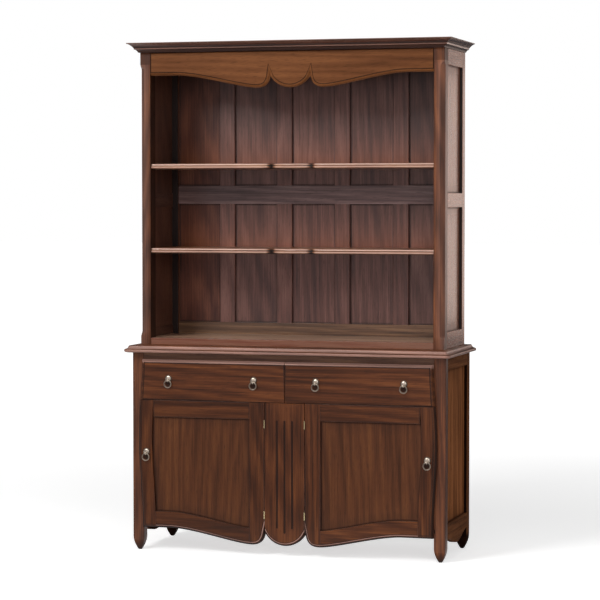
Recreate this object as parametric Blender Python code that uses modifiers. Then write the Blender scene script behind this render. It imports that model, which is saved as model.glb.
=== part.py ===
"""Two-piece mahogany dresser bookcase: an open shelf rack standing on a cupboard base.

The rack has a moulded cornice, a cupid's-bow frieze, two bow-fronted shelves, framed and
panelled sides and a framed back. The base has two drawers over two doors that hang from a
fluted centre pilaster. Units are metres, +Z is up, the front faces -Y and the origin lies on
the floor below the middle of the base top.
"""

import math

import bmesh
import bpy
from mathutils import Matrix, Vector

MM = 0.001

# Clearances
FIT = 0.3 * MM               # between fixed pieces that touch
SEAT = 0.4 * MM              # behind drawer fronts, doors and the pilaster
FRONT_GAP = 2.4 * MM         # joint line between doors, drawers and the pilaster
RUNNING = 1.5 * MM           # each side of a drawer box
ARRIS = 1.2 * MM             # eased edge of every board

# Base top
TOP_WIDTH = 1416 * MM
TOP_DEPTH = 510 * MM
TOP_THICK = 30 * MM
TOP_EDGE = 22 * MM           # width of the ogee worked on its front and ends
TOP_CORNER = 24 * MM         # rounding of its front corners in plan
TOP_OGEE = ((0.64, 0.00), (0.18, 0.08), (0.00, 0.20), (0.00, 0.38), (0.12, 0.48),
            (0.34, 0.54), (0.60, 0.62), (0.78, 0.77), (0.87, 0.90), (1.00, 1.00))
BASE_HEIGHT = 873 * MM       # floor to the upper face of the top

# Base carcase
SIDE_OVERHANG = 27 * MM      # top beyond the legs at each end
FRONT_OVERHANG = 52 * MM     # top beyond the front faces of the legs
BACK_OVERHANG = 3 * MM
LEG_WIDTH = 50 * MM
FRONT_LEG_DEPTH = 38 * MM
REAR_LEG_DEPTH = 50 * MM
FOOT_HEIGHT = 60 * MM
FOOT_TAPER = ((0.00, 0.24), (0.15, 0.44), (0.30, 0.62), (0.60, 0.87), (1.00, 1.00))
RAIL_THICK = 24 * MM
BASE_TOP_RAIL = 54 * MM
APRON_TOP = 156 * MM         # upper edge of the side aprons above the floor
APRON_ENDS = 94 * MM         # lower edge of the side aprons at the legs
APRON_DROP = 36 * MM
PANEL_RECESS = 12.5 * MM
PANEL_THICK = 8 * MM
TONGUE = 8 * MM              # panel edges and board ends housed in grooves
TENON_LENGTH = 20 * MM
TENON_THICK = 9 * MM
TENON_SHOULDER = 10 * MM
FRONT_RAIL = 46 * MM
FRONT_RAIL_THICK = 22 * MM
DECK_THICK = 20 * MM
DRAWER_OPENING = 152 * MM
CUPBOARD_FLOOR = 138 * MM
FLOOR_THICK = 20 * MM
PARTITION_THICK = 18 * MM
POST_WIDTH = 90 * MM
POST_THICK = 25 * MM
BACK_THICK = 8 * MM
BACK_INSET = 4 * MM

# Shaped front: doors, drawers and pilaster stand proud of the legs
FRONT_THICK = 27.5 * MM
FRONT_LAP = 1 * MM           # lap over the legs where the front is narrowest
SWELL = 16 * MM              # outward bow of the doors and drawers
SWELL_HEIGHT = 475 * MM
SWELL_REACH = 345 * MM
EDGE_MOULD = 12 * MM
MOULD_FILLET = 0.8           # share of a moulding's width that is its round
LOBE_LOW = 45.5 * MM           # lowest line of the doors and pilaster above the floor
NOTCH = 49 * MM              # height of the notches beside the pilaster
WING_REACH = 60 * MM         # notch to the lowest point of a wing
OGEE_LENGTH = 353 * MM
OGEE_RISE = 56 * MM
SHOULDER_HANDLES = ((0.13, 0.17), (0.50, 0.00))
OGEE_HANDLES = ((0.19, 0.00), (0.72, 1.00))
PILASTER_WIDTH = 172 * MM
FLUTE_PITCH = 33 * MM
FLUTE_RADIUS = 5 * MM
FLUTE_DEPTH = 3 * MM
FLUTE_TOP = 72 * MM          # below the top of the pilaster
FLUTE_FOOT = 52 * MM         # above the pilaster's lowest line
FLUTE_STEP = 20 * MM         # outer flutes end higher than the middle one

# Doors
INNER_STILE = 66 * MM
OUTER_STILE = 62 * MM
DOOR_RAIL = 70 * MM
DOOR_RECESS = 11 * MM
DOOR_PANEL = 7 * MM

# Drawers
DRAWER_LAP = 18 * MM         # drawer front over the front rail
DRAWER_HEADROOM = 6 * MM
DRAWER_LENGTH = 385 * MM
DRAWER_SIDE = 12 * MM
DRAWER_BOTTOM = 6 * MM
DRAWER_BOTTOM_RISE = 9 * MM
DRAWER_GROOVE = 5 * MM

# Hinges
HINGE_HEIGHT = 31 * MM
HINGE_TOP_DROP = 89 * MM     # door top to the middle of the upper hinge
HINGE_LOW_RISE = 36 * MM     # cupboard floor to the middle of the lower hinge
KNUCKLE_RADIUS = 3 * MM
PIN_RADIUS = 1.5 * MM
PIN_PLAY = 0.5 * MM
LEAF_THICK = 1.2 * MM
LEAF_DEPTH = 17 * MM
LEAF_APART = 0.6 * MM

# Ring pulls
ROSE_RADIUS = 15 * MM
ROSE_HEIGHT = 7 * MM
ROSE_PROFILE = ((0.00, 1.00), (0.36, 0.97), (0.64, 0.82), (0.80, 0.56),
                (0.86, 0.38), (1.00, 0.28), (1.00, 0.00), (0.00, 0.00))
EYE_DROP = 8 * MM            # eye below the middle of the rose
EYE_REACH = 11.5 * MM        # eye in front of the drawer face
EYE_RADIUS = 6.4 * MM
EYE_NECK = 4.2 * MM
EYE_HOLE = 4.2 * MM
RING_RADIUS = 14.5 * MM
RING_WIRE = 2.7 * MM
DRAWER_PULL_INNER = 135 * MM
DRAWER_PULL_INSET = 120 * MM
DRAWER_PULL_RISE = 91 * MM   # above the drawer deck
DOOR_PULL_INSET = 37 * MM
DOOR_PULL_DROP = 219 * MM    # below the door top

# Rack
RACK_INSET = 47 * MM         # base top beyond the rack at each end
RACK_DEPTH = 391 * MM
RACK_SETBACK = 20 * MM       # rack back in front of the base top's back edge
RACK_HEIGHT = 1238 * MM      # posts, from the base top to the cornice
RACK_POST_WIDTH = 45 * MM
RACK_POST_DEPTH = 62 * MM
REAR_POST_DEPTH = 48 * MM
CHAMFER = 18 * MM
CHAMFER_TOP = 51 * MM        # stop below the top of the post
CHAMFER_FOOT = 36 * MM       # stop above the foot of the post
CHAMFER_STOP = 22 * MM
STOP_TIP = 0.05              # share of the chamfer left at the end of a stop
RACK_TOP_RAIL = 66 * MM
RACK_MID_RAIL = 60 * MM
RACK_MID_HEIGHT = 614 * MM   # middle of the mid rail above the base top
RACK_FOOT_RAIL = 69 * MM
FLOOR_BOARD = 29 * MM
FLOOR_RECESS = 2 * MM
SHELF_THICK = 22 * MM
SHELF_RISES = (382 * MM, 739 * MM)   # upper faces above the rack floor
SHELF_SET = 6 * MM           # shelf lobes behind the fronts of the posts
SHELF_NOTCH = 25 * MM
SHELF_SWING = 4 * MM
SHELF_MOULD = 7 * MM
SHELF_SHOULDER = 8 * MM      # tongues in the posts below the upper face
FRIEZE_THICK = 22 * MM
FRIEZE_DEPTH = 153 * MM      # lowest line of the frieze below the cornice
FRIEZE_MOULD = 10.5 * MM
BACK_FRAME_THICK = 14 * MM
BACK_PANEL_THICK = 5 * MM
BACK_PANEL_SET = 16 * MM     # back panel in front of the rear faces of the posts
BACK_PITCH = 267 * MM        # muntin to muntin, rounded to whole columns
MUNTIN_WIDTH = 67 * MM
BACK_MID_RAIL = 80 * MM
BACK_MID_HEIGHT = 637 * MM   # middle of the back's mid rail above the base top
BACK_FOOT_RAIL = 52 * MM
BACK_TOP_RAIL = 66 * MM

# Cornice
TOP_BOARD = 16 * MM
CORNICE_FORWARD = 16 * MM    # top board in front of the posts
CORNICE_HEIGHT = 39 * MM
CORNICE_REACH = 42 * MM
CORNICE_FOOT = 3 * MM        # projection of the bed moulding's lower edge
CORNICE_SHELF = 17 * MM      # projection of the fillet above it
CORNICE_BED = 12.5 * MM      # height of the bed moulding
CORNICE_LIP = 3 * MM         # top fillet beyond the cove
BED_HOLLOW = 0.20
COVE_HOLLOW = 0.11
CORNICE_LEDGE = 26 * MM      # cornice lying on the top board
CORNICE_FILLET = 4 * MM

# Facets along curves
ARC_STEPS = 8
TURN_STEPS = 16
PIN_STEPS = 12
FLUTE_STEPS = 12
EYE_STEPS = 10
RING_STEPS = 20
WIRE_STEPS = 8

# Looks: colour, roughness, metallic
MAHOGANY = ((0.20, 0.058, 0.026), 0.34, 0.0)
MAHOGANY_DARK = ((0.105, 0.034, 0.020), 0.40, 0.0)
MAHOGANY_LIGHT = ((0.27, 0.090, 0.036), 0.32, 0.0)
DRAWER_WOOD = ((0.36, 0.19, 0.085), 0.55, 0.0)
NICKEL = ((0.47, 0.45, 0.42), 0.30, 1.0)
BRASS = ((0.72, 0.52, 0.24), 0.28, 1.0)

# Places worked out from the sizes above
LEG_X = TOP_WIDTH / 2 - SIDE_OVERHANG
LEG_INNER = LEG_X - LEG_WIDTH
FRONT_Y = -TOP_DEPTH / 2 + FRONT_OVERHANG
REAR_Y = TOP_DEPTH / 2 - BACK_OVERHANG
LEG_BACK = FRONT_Y + FRONT_LEG_DEPTH
REAR_LEG_FRONT = REAR_Y - REAR_LEG_DEPTH
LEG_TOP = BASE_HEIGHT - TOP_THICK - FIT
RAIL_LOW = LEG_TOP - FRONT_RAIL
DECK_TOP = RAIL_LOW - DRAWER_OPENING
DECK_LOW = DECK_TOP - DECK_THICK
BACK_FACE = REAR_Y - BACK_INSET - BACK_THICK
FACE_BACK = FRONT_Y - SEAT
FACE_Y = FACE_BACK - FRONT_THICK
DOOR_TOP = DECK_TOP - FRONT_GAP / 2
DRAWER_LOW = DECK_TOP + FRONT_GAP / 2
DRAWER_TOP = RAIL_LOW + DRAWER_LAP
PILASTER_HALF = PILASTER_WIDTH / 2
DOOR_INNER = PILASTER_HALF + FRONT_GAP
BOW_HALF = PILASTER_HALF + FRONT_GAP / 2
HINGE_X = BOW_HALF
HINGE_Y = FACE_Y - KNUCKLE_RADIUS - SEAT
RACK_X = TOP_WIDTH / 2 - RACK_INSET
RACK_INNER = RACK_X - RACK_POST_WIDTH
RACK_BACK = TOP_DEPTH / 2 - RACK_SETBACK
RACK_FRONT = RACK_BACK - RACK_DEPTH
POST_BACK = RACK_FRONT + RACK_POST_DEPTH
REAR_POST_FRONT = RACK_BACK - REAR_POST_DEPTH
RACK_FOOT = BASE_HEIGHT + FIT
RACK_TOP = BASE_HEIGHT + RACK_HEIGHT
RACK_FLOOR = BASE_HEIGHT + FLOOR_BOARD
BACK_PANEL_Y = RACK_BACK - BACK_PANEL_SET - BACK_PANEL_THICK
BACK_FRAME_Y = BACK_PANEL_Y - FIT - BACK_FRAME_THICK
SIDES = ((-1, "left"), (1, "right"))

for leftover in list(bpy.data.objects):
    bpy.data.objects.remove(leftover)

PARTS = bpy.data.collections.new("dresser_bookcase")
CUTTERS = bpy.data.collections.new("dresser_cutters")
bpy.context.scene.collection.children.link(PARTS)
bpy.context.scene.collection.children.link(CUTTERS)


def pivot(name, place):
    """Add an empty that carries a moving group at its joint."""
    empty = bpy.data.objects.new(name, None)
    empty.location = place
    empty.empty_display_size = 30 * MM
    PARTS.objects.link(empty)
    return empty


def world_origin(obj):
    """Return where an object's origin lies in the world."""
    place = Vector(obj.location)
    if obj.parent:
        place += world_origin(obj.parent)
    return place


def part(name, bm, look, origin, parent=None):
    """Make a named part from a bmesh drawn in world coordinates."""
    bmesh.ops.recalc_face_normals(bm, faces=bm.faces)
    bmesh.ops.translate(bm, verts=bm.verts, vec=-Vector(origin))
    mesh = bpy.data.meshes.new(name)
    bm.to_mesh(mesh)
    bm.free()
    obj = bpy.data.objects.new(name, mesh)
    obj.location = origin
    if parent:
        obj.parent = parent
        obj.location = Vector(origin) - world_origin(parent)
    PARTS.objects.link(obj)
    colour, roughness, metallic = look
    finish = bpy.data.materials.new(name + "_finish")
    finish.use_nodes = True
    shader = finish.node_tree.nodes["Principled BSDF"]
    shader.inputs["Base Color"].default_value = (*colour, 1.0)
    shader.inputs["Roughness"].default_value = roughness
    shader.inputs["Metallic"].default_value = metallic
    mesh.materials.append(finish)
    return obj


def ease(obj, width=ARRIS):
    """Ease the sharp edges of a board."""
    bevel = obj.modifiers.new("arris", "BEVEL")
    bevel.width = width
    bevel.segments = 1
    bevel.limit_method = "ANGLE"
    bevel.angle_limit = math.radians(50)


def mould(obj, width):
    """Work an ovolo between two fillets along the edges that carry a bevel weight."""
    bevel = obj.modifiers.new("moulding", "BEVEL")
    bevel.width = width
    bevel.limit_method = "WEIGHT"
    bevel.use_clamp_overlap = False
    bevel.miter_inner = "MITER_SHARP"
    bevel.profile_type = "CUSTOM"
    steps = 2
    bevel.segments = steps + 2
    profile = bevel.custom_profile
    for step in range(steps + 1):
        turn = math.pi / 2 * step / steps
        profile.points.add(MOULD_FILLET * math.cos(turn), MOULD_FILLET * math.sin(turn))
    for point in profile.points:
        point.handle_type_1 = "VECTOR"
        point.handle_type_2 = "VECTOR"
    profile.use_sample_straight_edges = True
    profile.update()


def operand(obj, bm, operation):
    """Cut a shape out of a part, or join it on, with a Boolean."""
    bmesh.ops.recalc_face_normals(bm, faces=bm.faces)
    bmesh.ops.translate(bm, verts=bm.verts, vec=-world_origin(obj))
    mesh = bpy.data.meshes.new(obj.name + "_tool")
    bm.to_mesh(mesh)
    bm.free()
    tool = bpy.data.objects.new(mesh.name, mesh)
    tool.parent = obj
    tool.matrix_parent_inverse = obj.rotation_euler.to_matrix().inverted().to_4x4()
    tool.hide_render = True
    tool.display_type = "WIRE"
    CUTTERS.objects.link(tool)
    boolean = obj.modifiers.new(operation.lower(), "BOOLEAN")
    boolean.operation = operation
    boolean.object = tool
    boolean.solver = "EXACT"


def cut(obj, bm):
    """Cut a shape out of a part."""
    operand(obj, bm, "DIFFERENCE")


def join(obj, bm):
    """Join a shape onto a part."""
    operand(obj, bm, "UNION")


def block(corner, other):
    """Return a box between two opposite corners."""
    bm = bmesh.new()
    low = Vector(map(min, corner, other))
    high = Vector(map(max, corner, other))
    size = Matrix.Diagonal((*(high - low), 1.0))
    bmesh.ops.create_cube(bm, size=1.0, matrix=Matrix.Translation((low + high) / 2) @ size)
    return bm


def board(name, corner, other, look, parent=None):
    """Make a rectangular board with eased edges between two opposite corners."""
    middle = (Vector(corner) + Vector(other)) / 2
    obj = part(name, block(corner, other), look, middle, parent)
    ease(obj)
    return obj


def rod(middle, axis, radius, length, sides=TURN_STEPS):
    """Return a round bar along a world axis."""
    bm = bmesh.new()
    turn = Vector((0, 0, 1)).rotation_difference(Vector(axis)).to_matrix().to_4x4()
    bmesh.ops.create_cone(bm, cap_ends=True, segments=sides, radius1=radius, radius2=radius,
                          depth=length, matrix=Matrix.Translation(middle) @ turn)
    return bm


def loft(sections):
    """Return a closed skin through rings of points, capped at both ends."""
    bm = bmesh.new()
    rings = [[bm.verts.new(point) for point in section] for section in sections]
    count = len(rings[0])
    for ring, following in zip(rings, rings[1:]):
        for i in range(count):
            j = (i + 1) % count
            bm.faces.new((ring[i], ring[j], following[j], following[i]))
    bm.faces.new(rings[0])
    bm.faces.new(rings[-1])
    return bm


def place(point, axis, depth):
    """Put a 2D outline point in the world, at a depth along the axis it faces."""
    if axis == "X":
        return (depth, *point)
    if axis == "Y":
        return (point[0], depth, point[1])
    return (*point, depth)


def slab(outline, axis, start, end, moulded=(), ends=(True, False)):
    """Return an outline drawn out along an axis, with bevel weights on its moulded edges.

    `moulded` holds the numbers of the outline's edges that are worked; `ends` says on which
    of the two faces.
    """
    bm = bmesh.new()
    weight = bm.edges.layers.float.new("bevel_weight_edge")
    near = bm.faces.new([bm.verts.new(place(point, axis, start)) for point in outline])
    corners = list(near.verts)
    pushed = bmesh.ops.extrude_face_region(bm, geom=[near], use_keep_orig=True)["geom"]
    far = [element for element in pushed if isinstance(element, bmesh.types.BMVert)]
    bmesh.ops.translate(bm, verts=far, vec=Vector(place((0, 0), axis, end - start)))
    across = {}
    for edge in bm.edges:
        for corner, other in (edge.verts, reversed(edge.verts)):
            if corner in corners and other in far:
                across[corner] = other
    for i in moulded:
        pair = (corners[i], corners[(i + 1) % len(corners)])
        if ends[0]:
            bm.edges.get(pair)[weight] = 1.0
        if ends[1]:
            bm.edges.get([across[corner] for corner in pair])[weight] = 1.0
    return bm


def bezier(first, lean, settle, last, steps=ARC_STEPS):
    """Return points along a cubic curve, without its first point."""
    points = []
    for step in range(1, steps + 1):
        t = step / steps
        weights = ((1 - t) ** 3, 3 * t * (1 - t) ** 2, 3 * t * t * (1 - t), t ** 3)
        corners = (first, lean, settle, last)
        points.append(tuple(sum(w * c[k] for w, c in zip(weights, corners)) for k in (0, 1)))
    return points


def lobe(half, notch):
    """Return the right half of a middle lobe as an arc, from its lowest point to the notch."""
    radius = (half * half + notch * notch) / (2 * notch)
    sweep = math.atan2(half, radius - notch)
    turns = [sweep * step / ARC_STEPS for step in range(ARC_STEPS + 1)]
    return [(radius * math.sin(turn), radius - radius * math.cos(turn)) for turn in turns]


def wing(half, notch, rise):
    """Return a wing of the cupid's bow, from the notch through its low point to its flat end."""
    foot = half + WING_REACH
    end = foot + OGEE_LENGTH
    lean, settle = [(half + x * WING_REACH, z * notch) for x, z in SHOULDER_HANDLES]
    shoulder = bezier((half, notch), lean, settle, (foot, 0))
    lean, settle = [(foot + x * OGEE_LENGTH, z * rise) for x, z in OGEE_HANDLES]
    ogee = bezier((foot, 0), lean, settle, (end, rise))
    return [(half, notch)] + shoulder + ogee


def bow(half, notch, rise, end):
    """Return a whole cupid's-bow edge from left to right, ending flat at `end` on both sides."""
    right = lobe(half, notch) + wing(half, notch, rise)[1:] + [(end, rise)]
    left = [(-x, height) for x, height in reversed(right[1:])]
    return left + right


def swell(height):
    """Return how far the shaped front reaches from the middle at a height."""
    turn = min(abs(height - SWELL_HEIGHT) / SWELL_REACH, 1.0) * math.pi
    return LEG_INNER + FRONT_LAP + SWELL * (1 + math.cos(turn)) / 2


def swell_edge(low, high, inset=0.0, steps=ARC_STEPS):
    """Return the bowed outer edge between two heights, from low to high."""
    heights = [low + (high - low) * step / steps for step in range(steps + 1)]
    return [(swell(height) - inset, height) for height in heights]


def height_at(line, x):
    """Read the height of a left-to-right line of points at x."""
    for (x0, z0), (x1, z1) in zip(line, line[1:]):
        if x0 <= x <= x1:
            return z0 + (z1 - z0) * (x - x0) / (x1 - x0)
    return line[-1][1]


def grow(outline, distance):
    """Move every edge of an anticlockwise outline outwards by a distance."""
    grown = []
    count = len(outline)
    for i, point in enumerate(outline):
        before = Vector(point) - Vector(outline[i - 1])
        after = Vector(outline[(i + 1) % count]) - Vector(point)
        normals = [Vector((edge.y, -edge.x)).normalized() for edge in (before, after)]
        bisector = (normals[0] + normals[1]).normalized()
        grown.append(tuple(Vector(point) + bisector * (distance / bisector.dot(normals[0]))))
    return grown


def mirrored(outline, side):
    """Return an outline on the right, or its mirror image on the left."""
    return [(side * x, height) for x, height in outline]


def rectangle(half_x, half_y, middle, height):
    """Return the four corners of a level rectangle."""
    x, y = middle
    corners = ((-1, -1), (1, -1), (1, 1), (-1, 1))
    return [(x + sx * half_x, y + sy * half_y, height) for sx, sy in corners]


def leg_shape(side, front, back):
    """Return a square leg whose foot tapers in a curve to a blunt tip."""
    middle = (side * (LEG_X - LEG_WIDTH / 2), (front + back) / 2)
    half_x = LEG_WIDTH / 2
    half_y = (back - front) / 2
    rings = []
    for rise, share in FOOT_TAPER:
        rings.append(rectangle(half_x * share, half_y * share, middle, FOOT_HEIGHT * rise))
    return loft([*rings, rectangle(half_x, half_y, middle, LEG_TOP)]), middle


def tenon(side, outer, front, low, high, play=0.0):
    """Return the tenon on a side rail's front end, or its mortise when given play."""
    near = side * (outer - RAIL_THICK / 2 + TENON_THICK / 2 + play)
    far = side * (outer - RAIL_THICK / 2 - TENON_THICK / 2 - play)
    z_low = low + TENON_SHOULDER - play
    z_high = high - TENON_SHOULDER + play
    return block((near, front - TENON_LENGTH - play, z_low), (far, front + TENON_SHOULDER, z_high))


def panel_groove(side, outer, front, back, low, high):
    """Return the room a side panel and its tongues take, with the play they need."""
    near = side * (outer - PANEL_RECESS + FIT)
    far = side * (outer - PANEL_RECESS - PANEL_THICK - FIT)
    reach = TONGUE + FIT
    return block((near, front - reach, low - reach), (far, back + reach, high + reach))


def side_panel(name, side, outer, front, back, low, high):
    """Make a panel whose edges sit in the grooves of its frame."""
    near = (side * (outer - PANEL_RECESS), front - TONGUE, low - TONGUE)
    far = (side * (outer - PANEL_RECESS - PANEL_THICK), back + TONGUE, high + TONGUE)
    return board(name, near, far, MAHOGANY)


def housing(half, front, back, low, high):
    """Return the room that a shelf-like board takes, with the play it needs."""
    return block((-half - FIT, front - FIT, low - FIT), (half + FIT, back + FIT, high + FIT))


def top_ring(inset, height):
    """Return the base top's outline at one height: round front corners and a square back."""
    x = TOP_WIDTH / 2 - inset
    back = TOP_DEPTH / 2
    radius = max(TOP_CORNER - inset, FIT)
    steps = ARC_STEPS // 2
    turns = [math.pi / 2 * step / steps for step in range(steps + 1)]
    y = inset - back + radius
    right = [(x - radius + radius * math.sin(a), y - radius * math.cos(a)) for a in turns] + [(x, back)]
    return [(*point, height) for point in mirrored(reversed(right), -1) + right]


def build_base_top():
    """Make the base top with its ogee on the front and both ends."""
    low = BASE_HEIGHT - TOP_THICK
    rings = [top_ring(inset * TOP_EDGE, low + rise * TOP_THICK) for inset, rise in TOP_OGEE]
    part("base_top", loft(rings), MAHOGANY_LIGHT, (0, 0, BASE_HEIGHT))


def build_base_sides():
    """Make the front legs, the side frames with their rear legs, and the side panels."""
    rail_low = LEG_TOP - BASE_TOP_RAIL
    for side, word in SIDES:
        shape, middle = leg_shape(side, FRONT_Y, LEG_BACK)
        leg = part("front_leg_" + word, shape, MAHOGANY, (*middle, 0))
        ease(leg)
        for low, high in ((rail_low, LEG_TOP), (APRON_ENDS, APRON_TOP)):
            cut(leg, tenon(side, LEG_X, LEG_BACK, low, high, FIT))
        groove = (side, LEG_X, LEG_BACK, REAR_LEG_FRONT, APRON_TOP, rail_low)
        cut(leg, panel_groove(*groove))
        cut(leg, front_rail_tenon(side, FIT))

        shape, middle = leg_shape(side, REAR_LEG_FRONT, REAR_Y)
        frame = part("base_side_frame_" + word, shape, MAHOGANY, (*middle, 0))
        ease(frame)
        near, far = side * LEG_X, side * (LEG_X - RAIL_THICK)
        front = LEG_BACK + FIT
        bite = REAR_LEG_FRONT + TENON_LENGTH
        join(frame, block((near, front, rail_low), (far, bite, LEG_TOP)))
        join(frame, slab(apron_outline(front, bite), "X", near, far))
        for low, high in ((rail_low, LEG_TOP), (APRON_ENDS, APRON_TOP)):
            join(frame, tenon(side, LEG_X, LEG_BACK, low, high))
        cut(frame, panel_groove(*groove))

        for post in (leg, frame):
            for low, high in ((DECK_LOW, DECK_TOP), (CUPBOARD_FLOOR - FLOOR_THICK, CUPBOARD_FLOOR)):
                cut(post, housing(LEG_INNER + TONGUE, FRONT_Y, BACK_FACE, low, high))
        side_panel("base_side_panel_" + word, *groove)


def apron_outline(front, back):
    """Return the side apron's outline, with a lower edge that drops in a smooth bow."""
    steps = 2 * ARC_STEPS
    lower = []
    for step in range(steps + 1):
        share = step / steps
        drop = APRON_DROP * (1 - math.cos(2 * math.pi * share)) / 2
        lower.append((front + (REAR_LEG_FRONT - front) * share, APRON_ENDS - drop))
    return lower + [(back, APRON_ENDS), (back, APRON_TOP), (front, APRON_TOP)]


def front_rail_tenon(side, play=0.0):
    """Return a tenon of the front rail, or its mortise when given play."""
    middle = FRONT_Y + FRONT_RAIL_THICK / 2
    half = TENON_THICK / 2 + play
    low = RAIL_LOW + TENON_SHOULDER - play
    high = LEG_TOP - TENON_SHOULDER + play
    tip = side * (LEG_INNER + TENON_LENGTH + play)
    root = side * (LEG_INNER - TENON_SHOULDER)
    return block((tip, middle - half, low), (root, middle + half, high))


def build_base_inside():
    """Make the front rail, drawer deck, partition, centre post, cupboard floor and back."""
    inner = LEG_INNER - FIT
    rail = board("front_top_rail", (-inner, FRONT_Y, RAIL_LOW),
                 (inner, FRONT_Y + FRONT_RAIL_THICK, LEG_TOP), MAHOGANY)
    for side, _ in SIDES:
        join(rail, front_rail_tenon(side))
    back = BACK_FACE - FIT
    half = LEG_INNER + TONGUE
    board("drawer_deck", (-half, FRONT_Y, DECK_LOW), (half, back, DECK_TOP), MAHOGANY_DARK)
    board("cupboard_floor", (-half, FRONT_Y, CUPBOARD_FLOOR - FLOOR_THICK),
          (half, back, CUPBOARD_FLOOR), MAHOGANY_DARK)
    board("drawer_partition", (-PARTITION_THICK / 2, FRONT_Y + FRONT_RAIL_THICK + FIT, DECK_TOP + FIT),
          (PARTITION_THICK / 2, back, LEG_TOP), MAHOGANY_DARK)
    board("centre_post", (-POST_WIDTH / 2, FRONT_Y, CUPBOARD_FLOOR + FIT),
          (POST_WIDTH / 2, FRONT_Y + POST_THICK, DECK_LOW - FIT), MAHOGANY_DARK)
    board("base_back", (-inner, BACK_FACE, CUPBOARD_FLOOR - FLOOR_THICK),
          (inner, BACK_FACE + BACK_THICK, LEG_TOP), MAHOGANY_DARK)


def flute(x, low, high):
    """Return a round-ended flute cutter, standing in front of the pilaster."""
    bm = bmesh.new()
    bmesh.ops.create_uvsphere(bm, u_segments=FLUTE_STEPS, v_segments=FLUTE_STEPS // 2 + 1,
                              radius=FLUTE_RADIUS)
    upper = [vert for vert in bm.verts if vert.co.z > 0]
    bmesh.ops.translate(bm, verts=upper, vec=(0, 0, high - low - 2 * FLUTE_RADIUS))
    y = FACE_Y + FLUTE_DEPTH - FLUTE_RADIUS
    bmesh.ops.translate(bm, verts=bm.verts, vec=(x, y, low + FLUTE_RADIUS))
    return bm


def leaf_recess(side, middle_z, door):
    """Return the shallow recess for a hinge leaf in a door's edge or in the pilaster's edge."""
    out = 1 if door else -1
    near = side * (HINGE_X + out * (FRONT_GAP / 2 - FIT))
    far = side * (HINGE_X + out * (LEAF_APART / 2 + LEAF_THICK + FIT))
    half = HINGE_HEIGHT / 2 + FIT
    back = HINGE_Y + LEAF_DEPTH + FIT
    return block((near, FACE_Y - ARRIS, middle_z - half), (far, back, middle_z + half))


def hinge_heights():
    """Return the heights of the upper and lower hinges with their names."""
    return ((DOOR_TOP - HINGE_TOP_DROP, "upper"), (CUPBOARD_FLOOR + HINGE_LOW_RISE, "lower"))


def build_pilaster():
    """Make the fluted centre pilaster with its round moulded foot."""
    arc = [(x, LOBE_LOW + rise) for x, rise in lobe(PILASTER_HALF, NOTCH)]
    foot = mirrored(reversed(arc[1:]), -1) + arc
    outline = foot + [(PILASTER_HALF, DOOR_TOP), (-PILASTER_HALF, DOOR_TOP)]
    worked = range(len(foot) - 1)
    shape = slab(outline, "Y", FACE_Y, FACE_BACK, worked)
    pilaster = part("centre_pilaster", shape, MAHOGANY, (0, FACE_Y, LOBE_LOW))
    mould(pilaster, EDGE_MOULD)
    for number in (-1, 0, 1):
        low = LOBE_LOW + FLUTE_FOOT + abs(number) * FLUTE_STEP
        cut(pilaster, flute(number * FLUTE_PITCH, low, DOOR_TOP - FLUTE_TOP))
    for side, _ in SIDES:
        for middle_z, _ in hinge_heights():
            cut(pilaster, leaf_recess(side, middle_z, False))


def build_drawer(side, word):
    """Make one drawer: shaped front, box and bottom board."""
    slide = pivot("drawer_slide_" + word, (0, FACE_Y, DECK_TOP))
    split = FRONT_GAP / 2
    edge = swell_edge(DRAWER_LOW, DRAWER_TOP, steps=4)
    outline = [(split, DRAWER_LOW)] + edge + [(split, DRAWER_TOP)]
    worked = range(1, len(edge) + 1)
    shape = slab(mirrored(outline, side), "Y", FACE_Y, FACE_BACK, worked)
    front = part("drawer_front_" + word, shape, MAHOGANY, (side * split, FACE_Y, DRAWER_LOW), slide)
    mould(front, EDGE_MOULD)

    inner = PARTITION_THICK / 2 + RUNNING
    outer = LEG_INNER - RUNNING
    start = FACE_BACK + FIT
    end = start + DRAWER_LENGTH
    low = DECK_TOP + FIT
    wall = DRAWER_SIDE
    outline = [(inner, start), (inner + wall, start), (inner + wall, end - wall), (outer - wall, end - wall),
               (outer - wall, start), (outer, start), (outer, end), (inner, end)]
    shape = slab(mirrored(outline, side), "Z", low, RAIL_LOW - DRAWER_HEADROOM)
    box = part("drawer_box_" + word, shape, DRAWER_WOOD, (side * inner, start, low), slide)
    ease(box)
    tray = low + DRAWER_BOTTOM_RISE
    near = inner + wall - DRAWER_GROOVE
    far = outer - wall + DRAWER_GROOVE
    rear = end - wall + DRAWER_GROOVE
    cut(box, block((side * (near - FIT), start - FIT, tray - FIT),
                   (side * (far + FIT), rear + FIT, tray + DRAWER_BOTTOM + FIT)))
    board("drawer_bottom_" + word, (side * near, start, tray),
          (side * far, rear, tray + DRAWER_BOTTOM), DRAWER_WOOD, slide)
    rise = DECK_TOP + DRAWER_PULL_RISE
    for x, spot in ((DRAWER_PULL_INNER, "inner"), (LEG_INNER - DRAWER_PULL_INSET, "outer")):
        build_pull("drawer_" + word + "_" + spot, (side * x, FACE_Y, rise), slide)


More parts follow.
